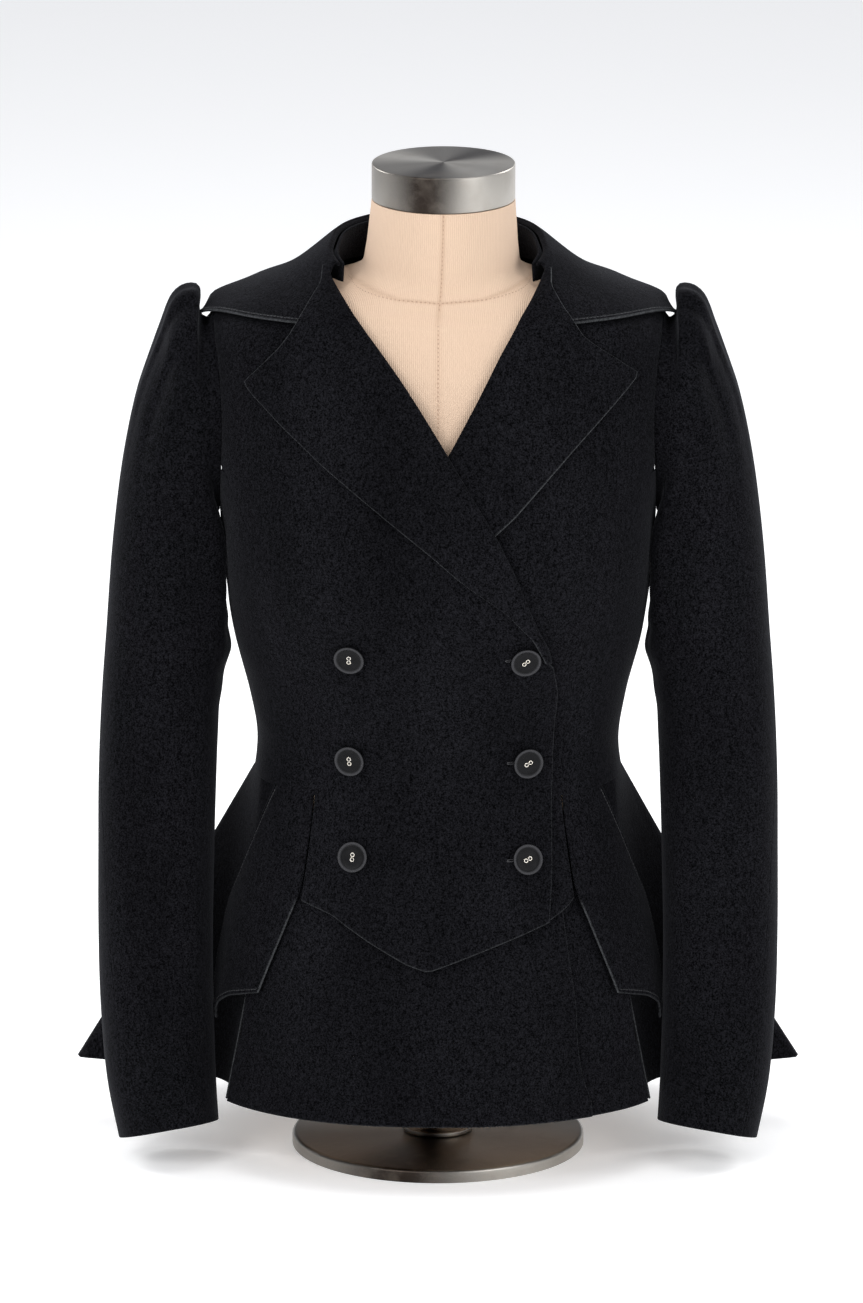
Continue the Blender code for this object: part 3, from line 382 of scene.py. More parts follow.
def torso(angle, h):
    """The jacket's outer face at an angle round the body and a height."""
    angle, h = np.broadcast_arrays(np.asarray(angle, float), np.asarray(h, float))
    sizes_at = [smooth_at(SECTIONS, "h", c, h) for c in ("half_width", "front", "back", "power")]
    round_bust = bell(np.abs(angle) - BUST["angle"], BUST["spread"])
    up_bust = bell(h - BUST["h"], BUST["rise"])
    radius = oval(angle, *sizes_at) + BUST["out"] * round_bust * up_bust
    turn = np.radians(angle)
    return np.stack([radius * np.sin(turn), -radius * np.cos(turn), h], -1)


def torso_out(angle, h, out):
    """A point of the torso moved out along its normal."""
    angle, h = np.broadcast_arrays(np.asarray(angle, float), np.asarray(h, float))
    round_it = torso(angle + 0.5, h) - torso(angle - 0.5, h)
    up = torso(angle, h + 1) - torso(angle, h - 1)
    return torso(angle, h) + unit(np.cross(round_it, up)) * np.asarray(out, float)[..., None]


def angle_at(x, h):
    """The angle at which the front of the torso has this x."""
    x, h = np.broadcast_arrays(np.asarray(x, float), np.asarray(h, float))
    low = np.zeros(x.shape)
    high = np.full(x.shape, SIDE)
    for _ in range(30):
        middle = (low + high) / 2
        beyond = torso(middle, h)[..., 0] > np.abs(x)
        high = np.where(beyond, middle, high)
        low = np.where(beyond, low, middle)
    return np.sign(x) * (low + high) / 2


def armhole_half_angle(h):
    """Half the armhole's width at a height, as an angle."""
    share = (np.asarray(h, float) - ARMHOLE["h"]) / ARMHOLE["half_height"]
    return ARMHOLE["half_angle"] * np.sqrt(np.clip(1 - share**2, 0, 1))


def body_creases(angle, h):
    """Soft troughs and ridges, and a faint unevenness, that die out at the shoulders."""
    angle = (np.asarray(angle, float) + BACK) % 360 - BACK
    total = UNEVEN * np.sin(h / 9.0 + np.sin(angle / 11.0) * 2) * np.sin(angle / 7.0 + 1)
    for middle, level, length, width, depth, turn in zip(*BODY_CREASES.values()):
        right, rise = (angle - middle) * MM_FOR_A_DEGREE, h - level
        cos, sin = math.cos(math.radians(turn)), math.sin(math.radians(turn))
        along = (right * cos + rise * sin) / length
        beside = (rise * cos - right * sin) / width + CREASE_BEND * along**2
        total = total + depth * np.exp(-(along**4) - beside**2)
    # They fade out round the armholes, where the sleeves' first rings have no creases.
    from_middle = (np.abs(angle) - SIDE) / ARMHOLE["half_angle"]
    from_armhole = np.hypot(from_middle, (h - ARMHOLE["h"]) / ARMHOLE["half_height"])
    return total * (1 - ease(h, *CREASE_FADE_H)) * ease(from_armhole, 1.0, 1.5)


def fine(values, step=STEP):
    """Values with equal steps put between them, none longer than step."""
    out = [float(values[0])]
    for low, high in zip(values[:-1], values[1:]):
        parts = max(1, math.ceil(abs(high - low) / step))
        out += [low + (high - low) * (k + 1) / parts for k in range(parts)]
    return np.array(out)


def between(left, right, shares):
    """Rows of values from a left edge to a right edge."""
    return left[:, None] + (right - left)[:, None] * np.asarray(shares)[None, :]


def across(count):
    return np.linspace(0, 1, count)


def patch(rows, left, right, cols):
    """Angles and heights of a patch of the body between two edges."""
    return between(left, right, across(cols)), np.repeat(rows[:, None], cols, 1)


# Shells
def along_line(line, at):
    """The points of a line at distances from its start."""
    so_far = np.concatenate([[0], np.cumsum(steps(line))])
    return np.stack([np.interp(at, so_far, line[:, k]) for k in range(3)], -1)


def spaced(grid, step):
    """The grid's lines along axis 1, set anew at even steps and closer at its edges."""
    totals = steps(grid, 1).sum(axis=1)
    count = max(3, math.ceil(totals.mean() / step))
    out = []
    for line, total in zip(grid, totals):
        start = EDGE_LINES * min(1.0, total / (EDGE_ROOM * EDGE_LINES[-1]))
        end = total - start[::-1]
        middle = np.linspace(start[-1], end[0], count + 1)[1:-1]
        out.append(along_line(line, np.concatenate([start, middle, end])))
    return np.array(out)


def edge_distances(grid):
    """How far each point is from each of the grid's four edges, along the cloth."""
    up = np.pad(np.cumsum(steps(grid, 0), axis=0), ((1, 0), (0, 0)))
    right = np.pad(np.cumsum(steps(grid, 1), axis=1), ((0, 0), (1, 0)))
    return {"b": up, "t": up[-1:] - up, "l": right, "r": right[:, -1:] - right}


def rounded(distance, radius):
    """How far a soft edge falls away at a distance from it."""
    inside = radius - np.minimum(distance, radius)
    return radius - np.sqrt(np.maximum(radius**2 - inside**2, 0))


def linked(name, data):
    """An object in the scene for a mesh, a lamp or a camera."""
    obj = bpy.data.objects.new(name, data)
    bpy.context.scene.collection.objects.link(obj)
    return obj


def placed(points):
    """Points above the hem in millimetres, as places in the scene."""
    return (np.asarray(points, float) * MM + (0, 0, HEM_Z * MM)).tolist()


def new_piece(name, verts, faces, material):
    mesh = bpy.data.meshes.new(name)
    mesh.from_pydata(placed(verts), [], faces)
    mesh.validate()
    mesh.materials.append(MATERIALS[material])
    mesh.shade_smooth()
    return linked(name, mesh)


def keep_values(piece, name, values):
    """One number for each point of a mesh, for its material."""
    piece.data.attributes.new(name, "FLOAT", "POINT").data.foreach_set("value", values)


def quads(rows, cols, closed=False):
    """Corners of the faces between a grid's points, counted row by row."""
    r = np.arange(rows - 1)[:, None]
    c = np.arange(cols if closed else cols - 1)[None, :]
    a = r * cols + c
    b = r * cols + (c + 1) % cols
    return np.stack([a, b, b + cols, a + cols], -1).reshape(-1, 4)


def signed_volume(verts, faces):
    a, b, c, d = (verts[faces[:, k]] for k in range(4))
    return (a * np.cross(b, c)).sum() + (a * np.cross(c, d)).sum()


STITCH_PATHS = []
MOST_OF_CUT = 0.999  # a piece's worked-out area stays under its rectangle


def brightness(rims, key, grid):
    """How strong an edge's painted highlight is: a share, or two heights over which it fades out
    upwards.
    """
    value = rims.get(key, 1.0)
    if isinstance(value, tuple):
        return 1 - ease(grid[..., 2], *value)
    return value


def shell(name, grid, away, free="", stitched="", flush="", rims=None, thick=CLOTH, step=STEP):
    """A cloth shell under a grid of points on its outer face.

    away is a point that the outer face looks away from. The edges named in free are turned
    edges, the others are seams, flush ones without a groove. The stitched ones carry a row
    of stitches, and rims says how strong a highlight is painted along each edge."""
    rims = rims or {}
    grid = spaced(grid, step)
    grid = spaced(grid.swapaxes(0, 1), step).swapaxes(0, 1)
    normal = unit(np.cross(np.gradient(grid, axis=0), np.gradient(grid, axis=1)))
    outward = grid - np.asarray(away, float)
    if (normal * outward).sum() < 0:
        normal = -normal
    fall = np.zeros(grid.shape[:2])
    glow = np.zeros(grid.shape[:2])
    raised = np.zeros(grid.shape[:2])
    for key, distance in edge_distances(grid).items():
        turned_edge = key in free
        if key not in flush:
            radius = thick / 2 if turned_edge else SEAM_ROUND
            fall = np.maximum(fall, rounded(distance, radius))
        # A highlight is painted along each turned edge and just past each stitch line.
        bright = brightness(rims, key, grid)
        if turned_edge:
            glow = np.maximum(glow, bright * bell(distance, EDGE_GLOW["reach"]))
        if key in stitched:
            raised = raised - TROUGH["depth"] * bell(distance - STITCH_INSET, TROUGH["width"])
            raised = raised + RIDGE["height"] * bell(distance - STITCH_INSET / 2, RIDGE["width"])
            past = bell(distance - STITCH_INSET - EDGE_GLOW["past"], EDGE_GLOW["stitch_reach"])
            glow = np.maximum(glow, EDGE_GLOW["stitch"] * bright * past)
            add_stitches(grid - normal * STITCH_SUNK, key)
    # Seams run into each other a little, so that no light shows between the pieces.
    for key, (edge, beside) in EDGES.items():
        if key not in free:
            grid[edge] -= unit(grid[beside] - grid[edge]) * SEAM_OVERLAP / 2
    outer = grid + normal * (raised - fall)[..., None]
    inner = grid - normal * (thick - fall)[..., None]
    rows, cols = grid.shape[:2]
    count = rows * cols
    verts = np.concatenate([outer.reshape(-1, 3), inner.reshape(-1, 3)])
    front_faces = quads(rows, cols)
    back_faces = front_faces[:, ::-1] + count
    rim_line = np.concatenate([
        np.arange(cols),
        np.arange(1, rows) * cols + cols - 1,
        (rows - 1) * cols + np.arange(cols - 2, -1, -1),
        np.arange(rows - 2, 0, -1) * cols,
    ])
    after = np.roll(rim_line, -1)
    side_faces = np.stack([after, rim_line, rim_line + count, after + count], -1)
    faces = np.concatenate([front_faces, back_faces, side_faces])
    if signed_volume(verts, faces) < 0:
        faces = faces[:, ::-1]
    piece = new_piece(name, verts, faces.tolist(), "velvet")
    # The inner face carries a fainter copy of the painted highlight.
    keep_values(piece, "rim", np.concatenate([glow.ravel(), EDGE_GLOW["back"] * glow.ravel()]))
    width, length = steps(grid, 1).sum(axis=1).max(), steps(grid, 0).sum(axis=0).max()
    corners = [grid[:-1, :-1], grid[1:, :-1], grid[1:, 1:], grid[:-1, 1:]]
    crossed = np.cross(corners[2] - corners[0], corners[3] - corners[1])
    area = np.linalg.norm(crossed, axis=-1).sum() / 2
    return piece, (width * MM, length * MM, area * MM**2)


EDGES = {
    "l": (np.s_[:, 0], np.s_[:, 1]),
    "r": (np.s_[:, -1], np.s_[:, -2]),
    "b": (np.s_[0], np.s_[1]),
    "t": (np.s_[-1], np.s_[-2]),
}


def add_stitches(grid, key):
    """Keeps the line along one edge of a grid, where its stitches go."""
    if key in "bt":
        grid = grid.swapaxes(0, 1)
    if key in "rt":
        grid = grid[:, ::-1]
    long_enough = steps(grid, 1).sum(axis=1) > 2.5 * STITCH_INSET
    path = [along_line(line, [STITCH_INSET])[0] for line in grid[long_enough]]
    lead = int(len(EDGE_LINES) * 0.8)
    STITCH_PATHS.append(np.array(path[lead:len(path) - lead]))


# Grids for the cloth pieces
def lie(angle, h, out):
    """Points of cloth lying on the body at a layer, with the body's creases."""
    return torso_out(angle, h, out + body_creases(angle, h))


def front_out(side, x, h, spread=0.0):
    """How far a front stands out where it covers the other front and the lapel."""
    if side > 0:
        return np.zeros(np.shape(x))
    rise = LAYER * ease(x + spread, *COVER["x"])
    beside = ease(x + spread, *COVER["lapel_x"])
    above = ease(h + spread, *COVER["low_h"]) * (1 - ease(h - spread, *COVER["high_h"]))
    return rise + (LAYER + COVER_MORE) * beside * above


def front_grid(side):
    rows = fine(FRONT_ROWS)
    outer = angle_at(straight_at(PRINCESS, "h", "x", rows), rows)
    above = rows > PRINCESS_TOP_H
    outer[above] = SIDE - armhole_half_angle(rows[above])
    outer[rows >= ARMHOLE_TOP] = SIDE
    if side < 0:
        free = smooth_at(FRONT_EDGE, "h", "x", rows)
        roll = smooth_at(ROLL_OVER, "h", "x", rows) - LAPEL_EDGE_DROP
        edge_x = np.where(rows < ROLL_OVER_FOOT_H, free, roll)
    else:
        roll = smooth_at(ROLL_UNDER, "h", "x", rows)
        edge_x = np.where(rows < ROLL_UNDER_FOOT_H, roll, roll + LAPEL_EDGE_DROP)
    angle, h = patch(rows, side * outer, angle_at(edge_x, rows), COLUMNS["front"])
    x = torso(angle, h)[..., 0]
    hem = np.interp(x[0], FRONT_HEM["x"], FRONT_HEM["h"])
    fall = np.clip((HEM_BLEND_H - rows) / (HEM_BLEND_H - FRONT_FOOT_H), 0, 1)
    h = h + (hem - FRONT_FOOT_H)[None, :] * fall[:, None]
    return lie(angle, h, front_out(side, x, h))


def side_front_grid(side):
    rows = fine([h for h in BODY_ROWS if h <= PRINCESS_TOP_H])
    seam = angle_at(straight_at(PRINCESS, "h", "x", rows), rows)
    outer = np.where(rows <= ARMHOLE_FOOT, SIDE, SIDE - armhole_half_angle(rows))
    return lie(*patch(rows, side * seam, side * outer, COLUMNS["side"]), 0)


def side_back_grid(side):
    rows = fine([h for h in BODY_ROWS if h < BACK_SEAM_TOP_H] + [BACK_SEAM_TOP_H - 4.0])
    outer = np.where(rows <= ARMHOLE_FOOT, SIDE, SIDE + armhole_half_angle(rows))
    seam = straight_at(BACK_SEAM, "h", "angle", rows)
    return lie(*patch(rows, side * outer, side * seam, COLUMNS["side"]), 0)


def back_grid(side):
    rows = fine(BODY_ROWS)
    edge = straight_at(BACK_SEAM, "h", "angle", np.minimum(rows, BACK_SEAM_TOP_H))
    edge = np.where(rows >= BACK_SEAM_TOP_H, SIDE + armhole_half_angle(rows), edge)
    edge = np.where(rows >= ARMHOLE_TOP, SIDE, edge)
    middle = np.full(len(rows), side * BACK)
    return lie(*patch(rows, side * edge, middle, COLUMNS["back"]), 0)


def lapel_grid(side, table):
    """A lapel turned back over its front, from the roll to the pointed edge."""
    stations = np.arange(len(table["roll_x"]))
    along = fine(stations, LAPEL_STEP)
    lines = {c: np.interp(along, stations, table[c]) for c in table}
    roll, edge = (softened(np.stack([lines[c + "_x"], lines[c + "_h"]], -1), times)
                  for c, times in LAPEL_SOFTENED.items())
    width = np.linalg.norm(edge - roll, axis=1)
    near_roll = np.linspace(0, LAPEL_ROLL_SHARE, 14)
    shares = np.concatenate([near_roll, np.linspace(LAPEL_ROLL_SHARE, 1, 30)[1:]])
    from_roll = width[:, None] * shares[None, :]
    way = (edge - roll) / width[:, None]
    points = roll[:, None] + way[:, None] * from_roll[..., None]
    x, h = points[..., 0], points[..., 1]
    out = front_out(side, x, h, LAPEL_SPREAD * ease(from_roll, 2, 20))
    out = out + smooth_at(ROLL_RISE, "at", "out", np.minimum(from_roll, 30))
    on_collar = ease(h, COLLAR_ZONE["low_h"], COLLAR_ZONE["high_h"])
    on_collar = on_collar * ease(np.abs(x), COLLAR_ZONE["in_x"], COLLAR_ZONE["out_x"])
    out = out + (COLLAR_ZONE["out"] - out) * on_collar
    # The lapel isn't pressed flat: it swells a little between its roll and its edge.
    swell = LAPEL_SWELL["out"] * ease(width, *LAPEL_SWELL["width"])[:, None]
    out = out + swell * np.sin(np.pi * shares)[None, :]
    return torso_out(angle_at(x, h), h, out)


def softened(line, times):
    """A line of points with its corners eased, its ends kept."""
    for _ in range(times):
        middle = (line[:-2] + 2 * line[1:-1] + line[2:]) / 4
        line = np.concatenate([line[:1], middle, line[-1:]])
    return line


def smooth_rows(grid, parts):
    """Smooth rows of points put between a grid's rows."""
    slope = np.gradient(grid, axis=0)
    out = []
    for r in range(len(grid) - 1):
        for t in np.arange(parts) / parts:
            out.append(curve(t, grid[r], grid[r + 1], slope[r], slope[r + 1]))
    return np.array(out + [grid[-1]])


def stand_top(angles):
    """The top edge of the collar's stand, and the direction away from the neck."""
    turn = np.where(angles > BACK, 360 - angles, angles)
    foot = torso(angles, NECK_H)
    away = unit(foot[:, :2])
    top = foot.copy()
    top[:, :2] -= away * smooth_at(STAND, "angle", "top_in", turn)[:, None]
    top[:, 2] = smooth_at(STAND, "angle", "top_h", turn)
    return foot, top, away


def collar_grid(side):
    """Half of the collar's fall, from the roll round the neck to its outer edge."""
    angles = fine(COLLAR_COLUMNS, COLLAR_STEP)
    start = np.interp(angles, COLLAR["angle"], COLLAR["start_angle"])
    edge_h = smooth_at(COLLAR, "angle", "edge_h", angles)
    _, top, away = stand_top(start)
    rows = []
    for out, up in zip(COLLAR_ROLL["out"], COLLAR_ROLL["up"]):
        point = top.copy()
        point[:, :2] += away * out
        point[:, 2] += up
        rows.append(point)
    shares = np.array(COLLAR_SHARES)
    near = np.interp(angles, COLLAR_OUT["angle"], COLLAR_OUT["near"])
    far = np.interp(angles, COLLAR_OUT["angle"], COLLAR_OUT["far"])
    out = between(near, far, (shares - shares[0]) / (1 - shares[0]))
    fall = torso_out(between(start, angles, shares),
                     between(np.full(len(angles), NECK_H), edge_h, shares), out)
    tip = COLLAR_TIP["out"] * bell(angles - COLLAR_TIP["angle"], COLLAR_TIP["spread"])
    fall[..., 0] += tip[:, None] * shares[None, :] ** 2
    grid = smooth_rows(np.concatenate([np.stack(rows), fall.swapaxes(0, 1)]), 8).swapaxes(0, 1)
    grid[..., 0] *= side
    return grid


def collar_stand_grid():
    half = np.array(STAND_COLUMNS, float)
    angles = fine(np.concatenate([half, [BACK], 360 - half[::-1]]), COLLAR_STEP)
    foot, top, away = stand_top(angles)
    foot[:, :2] -= away * STAND_FOOT["in"]
    foot[:, 2] -= STAND_FOOT["down"]
    return foot[None] + (top - foot)[None] * across(DOWN["stand"])[:, None, None]


def hip_flap_grid(side):
    shares = across(COLUMNS["flap"])
    low = straight_at(FLAP_LOW, "share", "h", shares)
    down = across(DOWN["flap"])[:, None]
    h = FLAP["h"][-1] + (low[None, :] - FLAP["h"][-1]) * down
    inner = smooth_at(FLAP, "h", "inner_angle", h)
    outer = smooth_at(FLAP, "h", "outer_angle", h)
    angle = inner + (outer - inner) * shares[None, :]
    out = np.interp(h, FLAP_OUT["h"], FLAP_OUT["out"])
    # The flap bows a little and its free corner lifts.
    bow = FLAP_BOW["bow"] * np.sin(np.pi * shares)[None, :] * down
    bow = bow + FLAP_BOW["lift"] * down**3 * shares[None, :] ** 3
    return lie(side * angle, h, out + bow)


def skirt_wave(angle, h):
    """The skirt's hem isn't quite even, and it swings a little below the points."""
    waves = sum(out * np.sin(np.radians(angle * turns + start))
                for out, turns, start in zip(*SKIRT_WAVES.values()))
    return (1 - ease(h, 0, SKIRT_WAVES_TOP_H)) * waves


def skirt_over_grid():
    rows = fine((0, SKIRT_TOP_H))
    seam = -straight_at(SKIRT_SEAM_ANGLE, "h", "angle", rows)
    free = angle_at(smooth_at(SKIRT_FREE_X, "h", "x", rows), rows)
    angle, h = patch(rows, seam, free, COLUMNS["over"])
    return lie(angle, h, SKIRT_OUT + skirt_wave(angle, h))


def skirt_under_grid():
    rows = fine((0, SKIRT_TOP_H))
    seam = straight_at(SKIRT_SEAM_ANGLE, "h", "angle", rows)
    hidden = np.full(len(rows), SKIRT_HIDDEN_ANGLE)
    angle, h = patch(rows, hidden, seam, COLUMNS["under"])
    out = SKIRT_UNDER_OUT + (SKIRT_OUT - SKIRT_UNDER_OUT) * ease(angle, *SKIRT_SWING)
    return lie(angle, h, out + skirt_wave(angle, h))


def peplum_grid(side, low, high, cols):
    """A stretch of the flared peplum, whose flutes open towards the hem."""
    angle = np.linspace(low, high, cols)
    top = torso_out(angle, WAIST_H, straight_at(PEPLUM_TOP_OUT, "angle", "out", angle))
    hem_x = smooth_at(PEPLUM, "angle", "hem_x", angle)
    hem_y = smooth_at(PEPLUM, "angle", "hem_y", angle)
    hem = np.stack([hem_x, hem_y, np.zeros(cols)], -1)
    down = across(DOWN["peplum"])[:, None]
    grid = top[None] + (hem - top)[None] * down[..., None]
    # The cloth falls steeply from the seam and swings out below it.
    uneven = 1 - 0.4 * side * np.sin(np.radians(angle * 3))
    hollow = PEPLUM_HOLLOW * np.sin(np.pi * down) * uneven
    grid[..., :2] -= unit(grid[..., :2]) * hollow[..., None]
    grid[..., 0] *= side
    return grid


def pleats(phi):
    """Knife pleats round the sleeve head, each steep on the side away from the top."""
    phi = (phi + BACK) % 360 - BACK
    total = np.zeros(np.shape(phi))
    for at in PLEAT_AT:
        away = (phi - at) * math.copysign(1, at)
        width = np.where(away < 0, PLEAT_WIDTH, PLEAT_STEEP)
        total = np.maximum(total, bell(away, width))
    return total


def sleeve_rings(phi):
    """Rings of points from the armhole to the cuff, for the sleeve on +X."""
    cos, sin = np.cos(np.radians(phi)), np.sin(np.radians(phi))
    h = ARMHOLE["h"] + (ARMHOLE["half_height"] + SLEEVE_OVERLAP) * cos[0]
    share = 1 + SLEEVE_OVERLAP / ARMHOLE["half_width"]
    rings = [torso(SIDE - ARMHOLE["half_angle"] * share * sin[0], h)]
    for k in range(len(SLEEVE["outer_x"])):
        c, s = cos[k + 1], sin[k + 1]
        size = (np.abs(c) ** SLEEVE_POWER + np.abs(s) ** SLEEVE_POWER) ** (-1 / SLEEVE_POWER)
        outer = np.array((SLEEVE["outer_x"][k], SLEEVE["outer_h"][k]))
        inner = np.array((SLEEVE["inner_x"][k], SLEEVE["inner_h"][k]))
        middle, reach = (outer + inner) / 2, (outer - inner) / 2
        bulge = 1 + SLEEVE["pleat"][k] * (pleats(phi[k + 1]) - 0.5) / 60
        from_top = (phi[k + 1] + BACK) % 360 - BACK
        puff = bell(from_top, PUFF_SPREAD)
        along = c * size * bulge
        x = middle[0] + reach[0] * along + SLEEVE["puff_x"][k] * puff
        z = middle[1] + reach[1] * along + SLEEVE["puff_h"][k] * puff + SLEEVE["lean"][k] * s
        y = SLEEVE["mid_y"][k] - SLEEVE["half_depth"][k] * s * size * bulge
        rings.append(np.stack([x, y, z], -1))
    return np.stack(rings)


def sleeve_creases(phi, ring):
    total = np.zeros(phi.shape)
    for middle, at, length, width, depth, turn in zip(*SLEEVE_CREASES.values()):
        rise = ring - middle
        beside = (phi - at - turn * rise) / width
        total = total + depth * np.exp(-(beside**2) - (rise / length) ** 2)
    return total


SLEEVE_PARTS = 8


def sleeve_grid(side, part):
    seam = np.array((SLEEVE["seam"][0],) + SLEEVE["seam"], float)
    if part == "upper":
        phi = between(seam, np.full(len(seam), SLEEVE_INNER_SEAM), across(COLUMNS["sleeve_upper"]))
    else:
        shares = across(COLUMNS["sleeve_under"])
        phi = between(np.full(len(seam), SLEEVE_INNER_SEAM), seam + 360, shares)
    grid = smooth_rows(sleeve_rings(phi), SLEEVE_PARTS)
    phi = smooth_rows(phi, SLEEVE_PARTS)
    ring = np.linspace(0, len(seam) - 1, len(grid))[:, None] + 0 * phi
    normal = unit(np.cross(np.gradient(grid, axis=1), np.gradient(grid, axis=0)))
    from_seam = np.minimum(phi - phi[:, :1], phi[:, -1:] - phi) / SLEEVE_SEAM_FADE["degrees"]
    seam_fade = np.clip(from_seam, 0, 1) * np.clip(ring / SLEEVE_SEAM_FADE["rings"], 0, 1)
    grid = grid + normal * (sleeve_creases(phi, ring) * seam_fade)[..., None]
    grid[..., 0] *= side
    return grid


# Materials
class Value:
    """A number socket that takes part in sums."""

    def __init__(self, graph, socket):
        self.graph, self.socket = graph, socket

    def __add__(self, other):
        return self.graph.math("ADD", self, other)

    __radd__ = __add__

    def __mul__(self, other):
        return self.graph.math("MULTIPLY", self, other)

    def __sub__(self, other):
        return self.graph.math("SUBTRACT", self, other)


def feed(tree, socket, value):
    """Links a socket to another, or sets its value."""
    value = value.socket if isinstance(value, Value) else value
    if isinstance(value, bpy.types.NodeSocket):
        tree.links.new(value, socket)
    else:
        socket.default_value = value


def add_node(tree, kind, settings=None, sockets=None):
    """A node of a type, with its settings first and then its sockets' values or links."""
    node = tree.nodes.new(kind)
    for name, value in (settings or {}).items():
        setattr(node, name, value)
    for name, value in (sockets or {}).items():
        feed(tree, node.inputs[name], value)
    return node


def opaque(colour):
    return (*colour, 1) if isinstance(colour, tuple) and len(colour) == 3 else colour


class Graph:
    """A material's nodes. Its Principled shader takes what set gives it."""

    def __init__(self, name):
        self.material = bpy.data.materials.new(name)
        self.material.use_nodes = True
        self.tree = self.material.node_tree
        self.shader = self.tree.nodes["Principled BSDF"]

    def add(self, kind, settings=None, sockets=None):
        return add_node(self.tree, kind, settings, sockets)

    def math(self, operation, *values):
        node = self.add("ShaderNodeMath", {"operation": operation}, dict(enumerate(values)))
        return Value(self, node.outputs[0])

    def place(self, scale=(1, 1, 1), turn=(0, 0, 0)):
        """Object coordinates, stretched or turned."""
        coordinates = self.add("ShaderNodeTexCoord").outputs["Object"]
        mapping = {"Vector": coordinates, "Scale": scale, "Rotation": turn}
        return self.add("ShaderNodeMapping", None, mapping).outputs["Vector"]

    def axes(self, vector):
        split = self.add("ShaderNodeSeparateXYZ", None, {"Vector": vector})
        return [Value(self, split.outputs[k]) for k in range(3)]

    def noise(self, where, scale, detail=2.0, rough=0.5):
        sockets = {"Vector": where, "Scale": scale, "Detail": detail, "Roughness": rough}
        return Value(self, self.add("ShaderNodeTexNoise", None, sockets).outputs[0])

    def attribute(self, name):
        return Value(self, self.add("ShaderNodeAttribute", {"attribute_name": name}).outputs["Fac"])

    def spread(self, value, low, high):
        """0 below low, 1 above high."""
        sockets = {"Value": value, "From Min": low, "From Max": high}
        return Value(self, self.add("ShaderNodeMapRange", {"clamp": True}, sockets).outputs[0])

    def mix(self, factor, first, second):
        node = self.add("ShaderNodeMix", {"data_type": "RGBA"}, {"Factor": factor})
        for k, colour in ((6, first), (7, second)):
            feed(self.tree, node.inputs[k], opaque(colour))
        return node.outputs[2]

    def bump(self, height, distance, strength):
        sockets = {"Height": height, "Distance": distance, "Strength": strength}
        return self.add("ShaderNodeBump", None, sockets).outputs["Normal"]

    def set(self, **sockets):
        """Feeds the shader's sockets, named with underscores for spaces."""
        for name, value in sockets.items():
            feed(self.tree, self.shader.inputs[name.replace("_", " ")], opaque(value))
        return self.material


COLOURS = {
    "nap_dark": (0.0004, 0.0004, 0.0006),
    "nap": (0.0235, 0.0235, 0.0285),
    # painted highlight along the velvet's edges
    "nap_painted_highlight": (0.062, 0.065, 0.068),
    "nap_sheen": (0.8, 0.82, 0.9),
    "rib_dark": (0.6, 0.43, 0.31),
    "rib": (0.74, 0.56, 0.42),
    "jersey_worn": (0.68, 0.48, 0.34),
    "jersey_seam": (0.46, 0.3, 0.2),
    # the steel's painted reflections run from this dark to the steel colour
    "steel_dark_reflection": (0.03, 0.023, 0.019),
    "steel": (0.62, 0.59, 0.54),
    "steel_spots": (0.3, 0.26, 0.22),
    "horn_dark": (0.002, 0.002, 0.0025),
    "horn": (0.006, 0.006, 0.007),
    # painted highlight round the buttons' rims
    "horn_painted_highlight": (0.05, 0.05, 0.054),
    "eyelet_dark": (0.62, 0.55, 0.42),
    "eyelet": (0.92, 0.9, 0.86),
    "thread_dark": (0.006, 0.006, 0.007),
    "thread": (0.05, 0.05, 0.056),
    "pink_dark": (0.3, 0.17, 0.11),
    "pink": (0.5, 0.33, 0.24),
    "floor_dark": (0.93, 0.93, 0.935),
    "floor": (0.95, 0.95, 0.95),
}


def velvet():
    """Near-black cotton velvet: a short nap that lies unevenly, with a highlight painted along its
    edges.
    """
    g = Graph("velvet")
    pile = g.noise(g.place(), 820, 2, 0.7)
    clumps = g.noise(g.place((1, 1, 0.6)), 420, 3, 0.6)
    strokes = g.noise(g.place((1, 1, 0.3), (0.1, 0.06, 0)), 16, 4, 0.55)
    rim = g.attribute("rim")
    speck = g.spread(pile * 0.7 + clumps * 0.3, 0.4, 0.64)
    stroked = g.spread(strokes, 0.3, 0.75)
    lift = speck * (0.34 + stroked * 0.3)
    base = g.mix(lift, COLOURS["nap_dark"], COLOURS["nap"])
    # Painted highlight: the rim attribute lightens the colour along the edges, broken up by the
    # pile.
    edge = g.spread(rim * (0.5 + speck * 0.7), 0.05, 1.1)
    colour = g.mix(edge, base, COLOURS["nap_painted_highlight"])
    height = pile * 0.6 + clumps * 0.4
    return g.set(
        Base_Color=colour,
        Roughness=g.spread(pile, 0.2, 0.8) * 0.12 + 0.82,
        Normal=g.bump(height, 0.0007, 0.8),
        Specular_IOR_Level=0.02,
        Sheen_Weight=0.06,
        Sheen_Roughness=0.4,
        Sheen_Tint=COLOURS["nap_sheen"],
    )


def jersey():
    """Peach ribbed jersey stretched over the form. Its ribs follow the surface."""
    g = Graph("jersey")
    u, v, _ = g.axes(g.add("ShaderNodeUVMap", {"uv_map": "cloth"}).outputs["UV"])
    rib = g.math("SINE", u * (2 * math.pi / JERSEY["rib"])) * 0.5 + 0.5
    course = g.math("SINE", v * (2 * math.pi / JERSEY["course"])) * 0.5 + 0.5
    fuzz = g.noise(g.place(), 900, 3, 0.6)
    stains = g.noise(g.place(), 14, 3)
    seam = g.attribute("seam")
    yarn = g.mix(rib * 0.55 + fuzz * 0.45, COLOURS["rib_dark"], COLOURS["rib"])
    worn = g.mix(g.spread(stains, 0.35, 0.75) * 0.25, yarn, COLOURS["jersey_worn"])
    colour = g.mix(seam * 0.45, worn, COLOURS["jersey_seam"])
    height = rib * 0.6 + course * rib * 0.25 + fuzz * 0.25 - seam * 1.2
    return g.set(Base_Color=colour, Roughness=0.78 + fuzz * 0.15,
                 Normal=g.bump(height, 0.0005, 0.7), Specular_IOR_Level=0.2,
                 Sheen_Weight=0.08, Sheen_Roughness=0.5)


